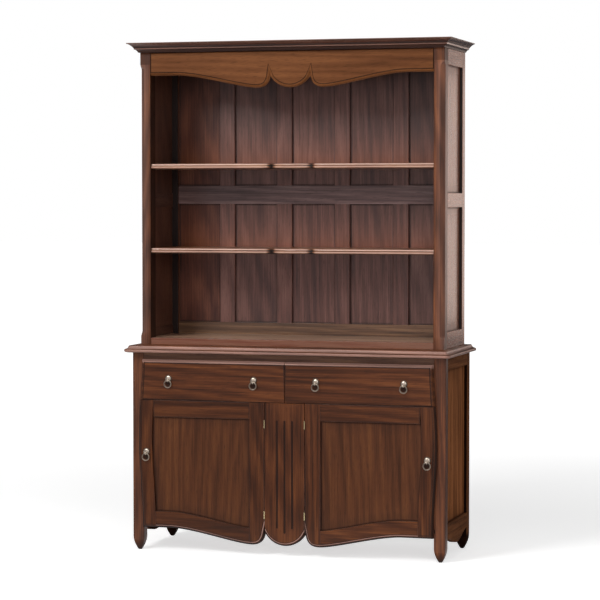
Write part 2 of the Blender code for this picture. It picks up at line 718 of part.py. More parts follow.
def door_outlines():
    """Return the right door's outline and its panel opening, both anticlockwise."""
    line = [(x, LOBE_LOW + rise) for x, rise in wing(DOOR_INNER, NOTCH, OGEE_RISE)]
    flat = LOBE_LOW + OGEE_RISE
    edge = swell_edge(flat, DOOR_TOP)
    outline = line + edge + [(DOOR_INNER, DOOR_TOP)]
    worked = range(len(line) + len(edge) - 1)
    left = DOOR_INNER + INNER_STILE
    high = DOOR_TOP - DOOR_RAIL
    low = flat + DOOR_RAIL
    side = swell_edge(low, high, OUTER_STILE)
    spread = [left + (side[0][0] - left) * step / ARC_STEPS for step in range(ARC_STEPS)]
    sill = [(x, height_at(line, x) + DOOR_RAIL) for x in spread]
    return outline, worked, sill + side + [(left, high)]


def build_door(side, word):
    """Make one door: shaped frame with a rebate, and the panel that lies in it."""
    hinge = pivot("door_hinge_" + word, (side * HINGE_X, HINGE_Y, DOOR_TOP))
    outline, worked, opening = door_outlines()
    shape = slab(mirrored(outline, side), "Y", FACE_Y, FACE_BACK, worked)
    frame = part("door_frame_" + word, shape, MAHOGANY, (side * DOOR_INNER, FACE_Y, DOOR_TOP), hinge)
    mould(frame, EDGE_MOULD)
    shoulder = FACE_Y + DOOR_RECESS
    cut(frame, slab(mirrored(opening, side), "Y", FACE_Y - ARRIS, FACE_BACK + ARRIS))
    cut(frame, slab(mirrored(grow(opening, TONGUE), side), "Y", shoulder, FACE_BACK + ARRIS))
    for middle_z, _ in hinge_heights():
        cut(frame, leaf_recess(side, middle_z, True))
    panel_face = shoulder + FIT
    shape = slab(mirrored(grow(opening, TONGUE - FIT), side), "Y", panel_face, panel_face + DOOR_PANEL)
    part("door_panel_" + word, shape, MAHOGANY_LIGHT, (side * DOOR_INNER, shoulder, DOOR_TOP), hinge)
    height = DOOR_TOP - DOOR_PULL_DROP
    build_pull("door_" + word, (side * (swell(height) - DOOR_PULL_INSET), FACE_Y, height), hinge)
    for middle_z, spot in hinge_heights():
        build_hinge(side, "_".join((spot, word)), middle_z, hinge)


def build_hinge(side, name, middle_z, door):
    """Make a butt hinge: a fixed leaf with two knuckles and the pin, and a leaf with one knuckle."""
    axis = (side * HINGE_X, HINGE_Y)
    third = HINGE_HEIGHT / 3
    half = HINGE_HEIGHT / 2
    clear = KNUCKLE_RADIUS + FIT
    for out, kind, parent in ((-1, "fixed", None), (1, "door", door)):
        near = side * (HINGE_X + out * LEAF_APART / 2)
        far = side * (HINGE_X + out * (LEAF_APART / 2 + LEAF_THICK))
        plate = block((near, HINGE_Y + clear, middle_z - half), (far, HINGE_Y + LEAF_DEPTH, middle_z + half))
        leaf = part("hinge_leaf_" + kind + "_" + name, plate, BRASS, (*axis, middle_z), parent)
        levels = (-third, third) if kind == "fixed" else (0,)
        for level in levels:
            length = third - FIT if kind == "door" else third - FIT / 2
            z = middle_z + level
            join(leaf, block((near, HINGE_Y, z - length / 2), (far, HINGE_Y + 2 * clear, z + length / 2)))
            join(leaf, rod((*axis, z), (0, 0, 1), KNUCKLE_RADIUS, length))
        if kind == "fixed":
            join(leaf, rod((*axis, middle_z), (0, 0, 1), PIN_RADIUS, HINGE_HEIGHT - third, PIN_STEPS))
        else:
            cut(leaf, rod((*axis, middle_z), (0, 0, 1), PIN_RADIUS + PIN_PLAY, HINGE_HEIGHT, PIN_STEPS))


def build_pull(name, face, parent):
    """Make a ring pull: a turned rose with a drilled eye, and the ring that swings in it."""
    x, y, z = face
    outline = bmesh.new()
    rim = [outline.verts.new((r * ROSE_RADIUS, 0, h * ROSE_HEIGHT)) for r, h in ROSE_PROFILE]
    for start, end in zip(rim, rim[1:]):
        outline.edges.new((start, end))
    rose = part("pull_rose_" + name, outline, NICKEL, (0, 0, 0), parent)
    rose.location = Vector((x, y - FIT, z)) - world_origin(parent)
    rose.rotation_euler.x = math.pi / 2
    screw = rose.modifiers.new("turning", "SCREW")
    screw.steps = TURN_STEPS
    screw.render_steps = TURN_STEPS
    screw.use_merge_vertices = True
    screw.merge_threshold = 0.01 * MM
    screw.use_smooth_shade = True
    eye = Vector((x, y - EYE_REACH, z - EYE_DROP))
    length = EYE_REACH - 2 * FIT
    join(rose, rod(eye + Vector((0, length / 2, 0)), (0, 1, 0), EYE_NECK, length, EYE_STEPS))
    ball = bmesh.new()
    bmesh.ops.create_uvsphere(ball, u_segments=EYE_STEPS, v_segments=EYE_STEPS // 2 + 1,
                              radius=EYE_RADIUS, matrix=Matrix.Translation(eye))
    join(rose, ball)
    cut(rose, rod(eye, (1, 0, 0), EYE_HOLE, 4 * EYE_RADIUS, EYE_STEPS))

    bpy.ops.mesh.primitive_torus_add(major_segments=RING_STEPS, minor_segments=WIRE_STEPS,
                                     major_radius=RING_RADIUS, minor_radius=RING_WIRE)
    torus = bpy.context.active_object
    hoop = bmesh.new()
    hoop.from_mesh(torus.data)
    bpy.data.meshes.remove(torus.data)
    hang = Matrix.Translation(eye - Vector((0, 0, RING_RADIUS))) @ Matrix.Rotation(math.pi / 2, 4, "X")
    bmesh.ops.transform(hoop, matrix=hang, verts=hoop.verts)
    ring = part("pull_ring_" + name, hoop, NICKEL, eye, parent)
    ring.data.shade_smooth()


def chamfer_cutter(side):
    """Return the stopped chamfer on a post's outer front corner, with lamb's-tongue stops."""
    low = RACK_FOOT + CHAMFER_FOOT
    high = RACK_TOP - CHAMFER_TOP
    steps = 4
    stations = []
    for step in range(steps + 1):
        rise = CHAMFER_STOP * step / steps
        share = STOP_TIP + (1 - STOP_TIP) * (1 - math.cos(math.pi * step / steps)) / 2
        stations.append((rise, share))
    rings = [(low + rise, share) for rise, share in stations]
    rings += [(high - rise, share) for rise, share in reversed(stations)]
    x, y = side * RACK_X, RACK_FRONT
    sections = []
    for height, share in rings:
        leg = CHAMFER * share
        diamond = ((x - leg, y), (x, y - leg), (x + leg, y), (x, y + leg))
        sections.append([(*corner, height) for corner in diamond])
    return loft(sections)


def rack_rails():
    """Return the heights of the rack's side rails, lowest first."""
    middle = BASE_HEIGHT + RACK_MID_HEIGHT
    return ((RACK_FOOT, BASE_HEIGHT + RACK_FOOT_RAIL),
            (middle - RACK_MID_RAIL / 2, middle + RACK_MID_RAIL / 2),
            (RACK_TOP - FIT - RACK_TOP_RAIL, RACK_TOP - FIT))


def shelf_levels():
    """Return the lower and upper faces of the two shelves with their names."""
    tops = [RACK_FLOOR + rise for rise in SHELF_RISES]
    return [(top - SHELF_THICK, top, name) for top, name in zip(tops, ("lower", "upper"))]


def build_rack_sides():
    """Make the rack's front posts, side frames with rear posts, and side panels."""
    top = RACK_TOP - FIT
    rails = rack_rails()
    shelf_front = RACK_FRONT + SHELF_SET + SHELF_SWING
    gaps = [(below[1], above[0]) for below, above in zip(rails, rails[1:])]
    for side, word in SIDES:
        inner, outer = side * RACK_INNER, side * RACK_X
        post = board("rack_front_post_" + word, (inner, RACK_FRONT, RACK_FOOT),
                     (outer, POST_BACK, top), MAHOGANY)
        cut(post, chamfer_cutter(side))
        frame = board("rack_side_frame_" + word, (inner, REAR_POST_FRONT, RACK_FOOT),
                      (outer, RACK_BACK, top), MAHOGANY)
        far = side * (RACK_X - RAIL_THICK)
        for low, high in rails:
            cut(post, tenon(side, RACK_X, POST_BACK, low, high, FIT))
            join(frame, block((outer, POST_BACK + FIT, low), (far, REAR_POST_FRONT + TENON_LENGTH, high)))
            join(frame, tenon(side, RACK_X, POST_BACK, low, high))
        for (low, high), level in zip(gaps, ("lower", "upper")):
            groove = (side, RACK_X, POST_BACK, REAR_POST_FRONT, low, high)
            cut(post, panel_groove(*groove))
            cut(frame, panel_groove(*groove))
            side_panel("_".join(("rack_side_panel", level, word)), *groove)
        for low, high, _ in shelf_levels():
            for upright in (post, frame):
                tongue = (low, high - SHELF_SHOULDER)
                cut(upright, housing(RACK_INNER + TONGUE, shelf_front, BACK_FRAME_Y - FIT, *tongue))


def build_shelves():
    """Make the two shelves, whose front edges repeat the cupid's bow in plan."""
    lobes = RACK_FRONT + SHELF_SET
    tip = RACK_INNER + TONGUE
    wide = RACK_X - RAIL_THICK - FIT
    back = BACK_FRAME_Y - FIT
    front = [(x, lobes + rise) for x, rise in bow(BOW_HALF, SHELF_NOTCH, SHELF_SWING, tip)]
    step_front = POST_BACK + FIT
    step_back = REAR_POST_FRONT - FIT
    right = [(tip, step_front), (wide, step_front), (wide, step_back), (tip, step_back), (tip, back)]
    outline = front + right + mirrored(reversed(right), -1)
    worked = range(len(front) - 1)
    for low, high, name in shelf_levels():
        shape = slab(outline, "Z", low, high, worked, (True, True))
        shelf = part(name + "_shelf", shape, MAHOGANY, (0, lobes, low))
        mould(shelf, SHELF_MOULD)
        for side, _ in SIDES:
            for near, far in ((lobes, step_front), (step_back, back + FIT)):
                cut(shelf, block((side * (RACK_INNER - FIT), near, high - SHELF_SHOULDER),
                                 (side * (tip + FIT), far, high + FIT)))


def build_rack_floor():
    """Make the rack's floor board, notched round the four posts."""
    narrow = RACK_INNER - FIT
    wide = RACK_X - RAIL_THICK - FIT
    front = RACK_FRONT + FLOOR_RECESS
    right = [(narrow, front), (narrow, POST_BACK + FIT), (wide, POST_BACK + FIT),
             (wide, REAR_POST_FRONT - FIT), (narrow, REAR_POST_FRONT - FIT), (narrow, BACK_FRAME_Y - FIT)]
    outline = right + mirrored(reversed(right), -1)
    shape = slab(outline, "Z", RACK_FOOT, RACK_FLOOR)
    ease(part("rack_floor", shape, MAHOGANY, (0, front, RACK_FOOT)))


def build_rack_back():
    """Make the back frame with its muntins, and the panel board behind it."""
    half = RACK_INNER - FIT
    low = RACK_FOOT
    top = RACK_TOP - FIT
    frame = board("rack_back_frame", (-half, BACK_FRAME_Y, low),
                  (half, BACK_FRAME_Y + BACK_FRAME_THICK, top), MAHOGANY_DARK)
    middle = BASE_HEIGHT + BACK_MID_HEIGHT
    rows = ((RACK_FLOOR + BACK_FOOT_RAIL, middle - BACK_MID_RAIL / 2),
            (middle + BACK_MID_RAIL / 2, top - BACK_TOP_RAIL))
    columns = round(2 * RACK_INNER / BACK_PITCH)
    width = (2 * RACK_INNER - (columns - 1) * MUNTIN_WIDTH) / columns
    for column in range(columns):
        left = -RACK_INNER + column * (width + MUNTIN_WIDTH)
        for row_low, row_high in rows:
            cut(frame, block((left, BACK_FRAME_Y - ARRIS, row_low),
                             (left + width, BACK_PANEL_Y, row_high)))
    board("rack_back_panel", (-half, BACK_PANEL_Y, low),
          (half, BACK_PANEL_Y + BACK_PANEL_THICK, top), MAHOGANY_DARK)


def build_frieze():
    """Make the frieze board, whose moulded lower edge is a cupid's bow."""
    end = RACK_INNER - FIT
    low = RACK_TOP - FRIEZE_DEPTH
    top = RACK_TOP - FIT
    edge = [(x, low + rise) for x, rise in bow(BOW_HALF, NOTCH, OGEE_RISE, end)]
    outline = edge + [(end, top), (-end, top)]
    worked = range(len(edge) - 1)
    shape = slab(outline, "Y", RACK_FRONT, RACK_FRONT + FRIEZE_THICK, worked)
    mould(part("frieze", shape, MAHOGANY_LIGHT, (0, RACK_FRONT, low)), FRIEZE_MOULD)


def hollow(first, last, depth):
    """Return a concave moulding curve between two section points, without the first point."""
    (x, z), run = first, Vector(last) - Vector(first)
    lean, settle = [(x + (k / 3 - depth) * run.x, z + (k / 3 + depth) * run.y) for k in (1, 2)]
    return bezier(first, lean, settle, last, ARC_STEPS // 2)


def build_cornice():
    """Make the top board and the cornice that returns along both ends."""
    front = RACK_FRONT - CORNICE_FORWARD
    board("rack_top_board", (-RACK_X, front, RACK_TOP), (RACK_X, RACK_BACK, RACK_TOP + TOP_BOARD), MAHOGANY)
    low = RACK_TOP
    top = RACK_TOP + CORNICE_HEIGHT
    ledge = RACK_TOP + TOP_BOARD + FIT
    bed_top = low + CORNICE_BED
    cove_low = bed_top + CORNICE_FILLET
    cove_top = top - CORNICE_FILLET
    section = [(-CORNICE_LEDGE, top), (-CORNICE_LEDGE, ledge), (FIT, ledge), (FIT, low), (CORNICE_FOOT, low)]
    section += hollow((CORNICE_FOOT, low), (CORNICE_SHELF, bed_top), BED_HOLLOW)
    section += [(CORNICE_SHELF, cove_low)]
    section += hollow((CORNICE_SHELF, cove_low), (CORNICE_REACH - CORNICE_LIP, cove_top), COVE_HOLLOW)
    section += [(CORNICE_REACH, cove_top), (CORNICE_REACH, top)]
    stations = []
    for side, mitred in ((-1, False), (-1, True), (1, True), (1, False)):
        ring = []
        for out, height in section:
            ring.append((side * (RACK_X + out), front - out if mitred else RACK_BACK, height))
        stations.append(ring)
    part("cornice", loft(stations), MAHOGANY, (0, front, RACK_TOP))


build_base_top()
build_base_sides()
build_base_inside()
build_pilaster()
for which, label in SIDES:
    build_drawer(which, label)
    build_door(which, label)
build_rack_sides()
build_shelves()
build_rack_floor()
build_rack_back()
build_frieze()
build_cornice()
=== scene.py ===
"""Looks of a two-piece mahogany dresser: worked boards, polish, metalwork and studio.

Sizes are in millimetres and turn to metres when a skin becomes a mesh. Every board carries its
own place in the log, so the grain runs along it and no two boards repeat.
"""

import logging
import math
import zlib
from collections.abc import Mapping, Sequence
from dataclasses import dataclass, replace
from enum import Enum
from functools import cache
from typing import Any

import bpy
import numpy as np
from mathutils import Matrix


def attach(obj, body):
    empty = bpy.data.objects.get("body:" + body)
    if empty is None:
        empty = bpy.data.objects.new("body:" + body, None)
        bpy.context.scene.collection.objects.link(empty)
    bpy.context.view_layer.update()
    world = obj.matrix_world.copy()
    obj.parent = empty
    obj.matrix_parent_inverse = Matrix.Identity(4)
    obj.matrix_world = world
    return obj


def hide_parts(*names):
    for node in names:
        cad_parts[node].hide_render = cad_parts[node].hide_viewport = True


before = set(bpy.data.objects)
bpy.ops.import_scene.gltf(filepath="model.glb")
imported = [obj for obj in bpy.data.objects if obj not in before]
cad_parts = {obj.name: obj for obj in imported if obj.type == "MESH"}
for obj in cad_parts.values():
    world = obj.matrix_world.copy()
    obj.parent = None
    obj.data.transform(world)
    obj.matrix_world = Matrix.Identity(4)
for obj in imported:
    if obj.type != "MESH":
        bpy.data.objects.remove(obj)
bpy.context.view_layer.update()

LOG = logging.getLogger("dresser")
MM = 0.001
Array = np.ndarray
Pair = tuple[float, float]
Place = tuple[float, float, float]

# Shared places of the carcase and the rack
ARRIS = 1.2  # eased edge of a board
CLEAR = 0.3  # play between neighbouring pieces
FACE = -230.9  # front plane of the doors, drawers and pilaster
FACE_THICK = -203.4 - FACE
SPLIT = 1.2  # half of the joint line between the drawers
DOOR_TOP = 643.5
LOBE_LOW = 45.5  # lowest line of the doors and pilaster
NOTCH = 49.0  # height of the notches in the bow
BOW_RISE = 56.0  # low point of a wing to its flat end
WING_FOOT = 60.0  # notch of the bow to the low point of a wing
WING_OGEE = 353.0  # low point of a wing to its flat end
SHOULDER_DROP = (7.8, 0.17)  # first handle of its shoulder: past the notch, share of its height
SHOULDER_LEVEL = 30.0  # second handle of its shoulder, past the notch
OGEE_HANDLES = (67.1, 254.2)  # both handles of its ogee, past the low point
CURVE_STEPS = 24  # points along each curve of the bow
FRONT_MOULD = 12.0  # ovolo round the shaped front
SWELL_MIDDLE = 475.0  # height at which the shaped front is widest
SWELL_REACH = 345.0  # from there to where it is narrowest
SWELL_FOOT = 632.0  # half of its narrowest width
SWELL_OUT = 16.0  # how much further it reaches where it is widest
LEG_OUT = 681.0
RACK_OUT = 661.0
RACK_IN = 616.0
RACK_FRONT = -156.0
RACK_BACK = 235.0
RACK_FOOT = 873.3
RACK_TOP = 2111.0
RACK_INSIDE = 615.7  # half length of the boards between the rack's ends
HEAD_RAIL = (2044.7, 2110.7)  # foot and top of the rack's head rails
FLOOR_TOP = 902.0
SHELF_TOPS = (1284.0, 1641.0)
LOBE_HALF = 87.2  # middle of a bow to its notches
RAIL_THICK = 24.0
PANEL_RECESS = 12.5
PANEL_THICK = 8.0
TONGUE = 8.0  # panel edges inside their grooves
SHARP = math.radians(32.0)  # a sharper bend than this shows as an edge

# Stain of whole faces: painted shade where light does not reach, and the darkest foot tips
FULL_DARK = 1.2  # painted shade inside a recess, and the darkest tip of each foot
TURNED_AWAY = 0.9  # painted shade on a face turned from the light
OUTER_EDGE = 0.3  # outer mouldings of the front: a slight darkening in place of the painted highlight

# The log that boards are sawn from, in primes so that no two lie alike, and how their tones vary
LOG_SIZE = (9973, 877, 383)
TONE_SPREAD = 0.16
# Where a wood's dark, middle and light colours lie in its figure
FIGURE_DARK, FIGURE_MIDDLE, FIGURE_LIGHT = 0.34, 0.50, 0.68
# Lengths of the figure along and across the grain, in millimetres
WAVES, RINGS, RIBBONS, PORES = (520.0, 70.0), (2600.0, 300.0), (300.0, 5.0), (34.0, 2.4)
PORE_DEPTH = 0.4  # depth of an open pore
RING_DARK_FULL, RING_DARK_GONE = 10.0, 16.0  # the dark disc behind each ring, partly painted shadow of the ring and partly hand grime: full within, gone outside
STAIN_AND_SHADE_COVER, STAIN_AND_SHADE_DULL = 0.85, 0.3  # what full stain and painted shade hide, and how much rougher they are
OVERLAY_DARK, OVERLAY_LIGHT = -0.7, -1.3  # how a full overlay, mostly a painted highlight, covers the dark and the light figure
PORE_DULL = 0.35  # how much rougher a pore is than the polish
FINGER_WEAR = 3.0  # clouds on handled metal


class Side(Enum):
    """The two hands of the dresser, as signs along X."""

    LEFT = -1
    RIGHT = 1

    @property
    def word(self) -> str:
        """Return the hand as it stands in the names of the parts."""
        return self.name.lower()

    def pick(self, pair: Pair) -> float:
        """Return the left-hand or the right-hand value of a pair."""
        return pair[self is Side.RIGHT]


class Grain(Enum):
    """Which way a board is cut: the axes along, across and through its grain."""

    UPRIGHT = (2, 0, 1)
    LEVEL = (0, 2, 1)
    SHELF = (0, 1, 2)
    DEEP = (1, 2, 0)


class Facing(Enum):
    """The way a board's worked face looks.

    A value says which of across, up and through X, Y and Z take, and the sign of depth.
    """

    FRONT = ((0, 2, 1), 1.0)
    UP = ((0, 1, 2), -1.0)
    RIGHT = ((2, 0, 1), -1.0)


class Axis(Enum):
    """The axis round which a ring runs: which of its own directions X, Y and Z take up."""

    ACROSS = (2, 0, 1)
    FORWARDS = (1, 2, 0)


@dataclass
class Skin:
    """A closed surface with what its finish needs to know at every point.

    Attributes:
        points: Places in millimetres, one row each.
        quads: Point numbers of the four-sided faces.
        caps: Point numbers of the flat faces that close the ends.
        stain: Stain and painted shade at each point; below zero the overlay colour, mostly a
            painted highlight, is mixed in.
        grain: Place of each point in its log: along, across and through, in millimetres.
        tone: Lightness of the board that each point belongs to; on the rack's back and floor it
            also carries painted light.
    """

    points: Array
    quads: Array
    caps: list[Array]
    stain: Array
    grain: Array | None = None
    tone: Array | None = None

    def cut(self, grain: Grain, seed: str, tone: float = 1.0) -> "Skin":
        """Give the board its place in a log of its own.

        Args:
            grain: The way the board is cut.
            seed: A name that settles where in the log it was sawn.
            tone: Lightness of the board, about 1.

        Returns:
            The same skin, with its grain and tone.
        """
        number = zlib.crc32(seed.encode())
        long, wide, deep = LOG_SIZE
        shift = np.array([number % long, number // long % wide, number // wide % deep], float)
        wander = (number % 101 / 100.0 - 0.5) * TONE_SPREAD
        self.grain = self.points[:, grain.value] + shift
        self.tone = np.full(len(self.points), tone * (1.0 + wander))
        return self

    def mirrored(self) -> "Skin":
        """Return the left-hand twin, with its faces still turned outwards."""
        outwards = {"quads": self.quads[:, ::-1], "caps": [cap[::-1] for cap in self.caps]}
        return replace(self, points=self.points * [-1.0, 1.0, 1.0], **outwards)

    def handed(self, side: Side) -> "Skin":
        """Return a skin drawn for the right hand as it is on the given side."""
        return self if side is Side.RIGHT else self.mirrored()


def joined(skins: Sequence[Skin]) -> Skin:
    """Put several skins into one.

    Args:
        skins: The skins, each cut from its log.

    Returns:
        One skin that holds them all.
    """
    starts = np.cumsum([0] + [len(skin.points) for skin in skins[:-1]])
    return Skin(
        points=np.vstack([skin.points for skin in skins]),
        quads=np.vstack([skin.quads + start for skin, start in zip(skins, starts)]),
        caps=[cap + start for skin, start in zip(skins, starts) for cap in skin.caps],
        stain=np.hstack([skin.stain for skin in skins]),
        grain=np.vstack([skin.grain for skin in skins]),
        tone=np.hstack([skin.tone for skin in skins]),
    )


def lattice(rows: int, columns: int, closed: bool) -> Array:
    """Number the four-sided faces of a grid of points.

    Args:
        rows: Points down the grid.
        columns: Points along each row.
        closed: Whether each row runs back into its first point.

    Returns:
        The four point numbers of every face.
    """
    row, column = np.meshgrid(np.arange(rows - 1), np.arange(columns - (not closed)), indexing="ij")
    here = row * columns + column
    beside = row * columns + (column + 1) % columns
    return np.stack((here, beside, beside + columns, here + columns), axis=-1).reshape(-1, 4)


def stacked(rings: Array, stain: Array) -> Skin:
    """Skin a stack of closed rings and close its first and last ring with flat faces.

    Args:
        rings: Points, ring by ring: rings x points x 3.
        stain: Stain at the same points: rings x points.

    Returns:
        The closed skin.
    """
    count, around = rings.shape[:2]
    last = np.arange(around) + (count - 1) * around
    caps = [np.arange(around)[::-1], last]
    return Skin(rings.reshape(-1, 3), lattice(count, around, True), caps, stain.ravel())


def inset(outline: Array, reach: Array) -> Array:
    """Move every edge of an anticlockwise outline inwards and mitre the corners.

    Each edge shifts along its inward normal by its own reach. A corner goes to where its two
    shifted edges cross; between edges of equal reach that is the sum of both normals times
    reach / (1 + cosine of the turn).

    Args:
        outline: Corner points, points x 2.
        reach: How far each edge moves, one value for the edge that starts at each corner.

    Returns:
        The moved corners.
    """
    along = np.roll(outline, -1, axis=0) - outline
    normal = np.stack((-along[:, 1], along[:, 0]), axis=1)
    normal /= np.linalg.norm(normal, axis=1)[:, None]
    before = np.roll(normal, 1, axis=0)
    reach_before = np.roll(reach, 1)
    cosine = (before * normal).sum(axis=1)
    sine = before[:, 0] * normal[:, 1] - before[:, 1] * normal[:, 0]
    even = (before + normal) * (reach / (1.0 + cosine))[:, None]
    safe = np.where(np.abs(sine) < 1e-6, 1.0, sine)
    crossing = np.stack((reach_before * normal[:, 1] - reach * before[:, 1],
                         reach * before[:, 0] - reach_before * normal[:, 0]), axis=1)
    same = np.isclose(reach, reach_before)[:, None]
    return outline + np.where(same, even, crossing / safe[:, None])


@dataclass(frozen=True)
class Section:
    """The section of a board's edge, from its far face round to its near face.

    Attributes:
        depth: Distance behind the near face.
        worked: Inset of the moulded edges.
        plain: Inset of the eased edges.
        stain: Stain and painted shade along the moulded edges; below zero a painted highlight.
    """

    depth: Array
    worked: Array
    plain: Array
    stain: Array


QUARTER = np.linspace(0.0, math.pi / 2, 9)
EASED = np.linspace(0.0, math.pi / 2, 4)
EASE = 0.6  # eased edge beside a moulding
QUIRK_LINE = 3.2  # width of the dark line along a moulding
EDGE_HIGHLIGHT = -0.25  # the faint painted highlight along an eased edge
# Stain along an ovolo, from its edge to the face: painted shade on its outer, downward part, a
# painted highlight on the crown, a dark line beside the quirk
QUIRK_SHADING = (1.0, 1.0, 1.0, 1.0, 1.0, 0.95, 0.85, 0.1, -1.0, -1.0, -0.5, 0.4, 0.8, 0.0)
# The same where the edge lies upwards: a painted highlight over all of the round, then a dark line
# beside the quirk
RAISED_SHADING = (*[-0.45] * 10, 1.0, 1.0, 1.0, 0.0)
# The two rounds of a shelf's nose, the lower one from the middle down, the upper one up: painted
# highlights on the upper crown and the middle, painted shade on the lower round, dark quirk lines
NOSE_LOWER = (-1.0, -1.0, -0.8, -0.4, 0.0, 0.3, 0.6, 0.8, 0.9, 1.0, 1.0, 1.0, 1.0, 0.3)
NOSE_UPPER = (0.9, 0.4, -0.6, -1.0, -1.0, -1.0, -1.0, -1.0, -0.7, 0.0, 0.6, 0.6, 0.6, 0.0)


def eased_section(thick: float, arris: float = ARRIS) -> Section:
    """Return a board edge with both arrises rounded by a quarter circle.

    Args:
        thick: Thickness of the board.
        arris: Radius of the rounding.

    Returns:
        The section; its edge carries a faint painted highlight.
    """
    near = arris * (1.0 - np.sin(EASED))
    drawn = arris * (1.0 - np.cos(EASED))
    flat = min(1.3 * arris, 0.45 * thick)
    depth = np.hstack((thick - near[::-1], [thick - flat, flat], near))
    reach = np.hstack((drawn[::-1], [0.0, 0.0], drawn))
    rub = np.hstack((np.zeros(3), np.full(4, EDGE_HIGHLIGHT), np.zeros(3)))
    return Section(depth, reach, reach, rub)


def quirked(width: float, raised: bool = False) -> Section:
    """Return an ovolo between two quirks, from the edge to the face it is worked on.

    A ledge leads in by a fifth of the width, a quarter circle rises to the same distance below the
    face, and a square quirk, edged by a dark line, stands up to the face.

    Args:
        width: Width of the whole moulding.
        raised: Whether the edge lies upwards, where a painted highlight covers all of the round
            instead of painted shade on its outer part.

    Returns:
        The near part of an edge's section.
    """
    turn = 0.8 * width
    line = width + QUIRK_LINE
    depth = np.hstack((width, width - turn * np.sin(QUARTER), 0.5, 0.0, 0.0, 0.0))
    reach = np.hstack((0.0, width - turn * np.cos(QUARTER), width, width, line, line + 0.5))
    plain = np.where(depth > 0.0, 0.0, EASE)
    plain[-2:] = EASE + reach[-2:] - width
    return Section(depth, reach, plain, np.array(RAISED_SHADING if raised else QUIRK_SHADING))


def ovolo_section(thick: float, width: float, raised: bool = False) -> Section:
    """Return a board edge with an ovolo on its near face and an eased far arris.

    Args:
        thick: Thickness of the board.
        width: Width of the moulding.
        raised: Whether the edge lies upwards.

    Returns:
        The section.
    """
    near = quirked(width, raised)
    return Section(
        depth=np.hstack(([thick, thick - ARRIS], near.depth)),
        worked=np.hstack(([ARRIS, 0.0], near.worked)),
        plain=np.hstack(([ARRIS, 0.0], near.plain)),
        stain=np.hstack(([0.0, 0.0], near.stain)),
    )


def nosed_section(thick: float, width: float) -> Section:
    """Return a shelf's nose: the ovolo worked on both faces, painted with two highlight lines and
    shade below.

    Args:
        thick: Thickness of the shelf.
        width: Width of each moulding.

    Returns:
        The section.
    """
    half = quirked(width)
    return Section(
        depth=np.hstack((thick - half.depth[::-1], half.depth)),
        worked=np.hstack((half.worked[::-1], half.worked)),
        plain=np.hstack((half.plain[::-1], half.plain)),
        stain=np.array((*NOSE_LOWER[::-1], *NOSE_UPPER)),
    )


def worked_board(outline: Array, section: Section, face: float, facing: Facing,
                 worked: Array | None = None) -> Skin:
    """Carry an edge section round a board's outline.

    Ring k is the outline with each edge inset by the section's k-th reach, at its k-th depth.

    Args:
        outline: Anticlockwise corners as seen from in front of the face, points x 2.
        section: The edge section.
        face: Where the near face lies.
        facing: The way it looks.
        worked: Which edges are moulded, one flag for the edge that starts at each corner; none
            if left out.

    Returns:
        The closed board.
    """
    worked = np.zeros(len(outline), bool) if worked is None else worked
    reaches = np.where(worked, section.worked[:, None], section.plain[:, None])
    flat = np.stack([inset(outline, reach) for reach in reaches])
    depth = np.broadcast_to(section.depth[:, None], flat.shape[:2])
    touched = worked | np.roll(worked, 1) | (not worked.any())
    stain = section.stain[:, None] * touched
    order, sign = facing.value
    ways = (flat[..., 0], flat[..., 1], face + sign * depth)
    return stacked(np.stack([ways[k] for k in order], axis=-1), stain)


def oblong(low: Pair, high: Pair) -> Array:
    """Return the four corners of a rectangle, anticlockwise from its lower left."""
    return np.array([low, (high[0], low[1]), high, (low[0], high[1])], float)


def plank(low: Pair, high: Pair, face: float, thick: float,
          facing: Facing, arris: float = ARRIS) -> Skin:
    """Return a rectangular board with eased edges.

    Args:
        low: Lower left corner of its face.
        high: Upper right corner of its face.
        face: Where the face lies.
        thick: Thickness behind the face.
        facing: The way it looks.
        arris: Radius of the eased edges.

    Returns:
        The closed board.
    """
    return worked_board(oblong(low, high), eased_section(thick, arris), face, facing)


def panel(outline: Array, face: float, thick: float, facing: Facing) -> Skin:
    """Return a framed panel whose edges lie behind its frame, with painted shade where the frame
    begins.

    The last ring shrinks to four fifths about the middle; across the band between them the painted
    shade fades out, and inside it the panel has none.

    Args:
        outline: Anticlockwise corners as seen from in front of the face, points x 2.
        face: Where the face lies.
        thick: Thickness behind the face.
        facing: The way it looks.

    Returns:
        The closed panel.
    """
    depth = np.array([thick, 0.0, 0.0, 0.0, 0.0])
    reach = np.array([0.0, 0.0, TONGUE, TONGUE + 2.0, TONGUE + 9.0])
    # Painted shade round the edge, strongest where the frame begins
    edge = Section(depth, reach, reach, np.array([0.0, 0.9, 0.9, 0.8, 0.22]))
    made = worked_board(outline, edge, face, facing)
    rim = made.caps[1]
    last = made.points[rim]
    middle = (last.min(axis=0) + last.max(axis=0)) / 2
    core = np.arange(len(rim)) + len(made.points)
    band = np.stack((rim, np.roll(rim, -1), np.roll(core, -1), core), axis=1)
    points = np.vstack((made.points, middle + 0.8 * (last - middle)))
    stain = np.hstack((made.stain, np.zeros(len(core))))
    return Skin(points, np.vstack((made.quads, band)), [made.caps[0], core], stain)


def bezier(corners: Sequence[Pair], steps: int) -> Array:
    """Return points along a cubic curve, without its first point.

    The four corners are weighted by the Bernstein polynomials of degree three.

    Args:
        corners: First point, two handles and last point.
        steps: Number of points.

    Returns:
        Points x 2.
    """
    t = np.linspace(0.0, 1.0, steps + 1)[1:, None]
    s = 1 - t
    weights = np.hstack((s ** 3, 3 * t * s ** 2, 3 * t * t * s, t ** 3))
    return weights @ np.array(corners, float)


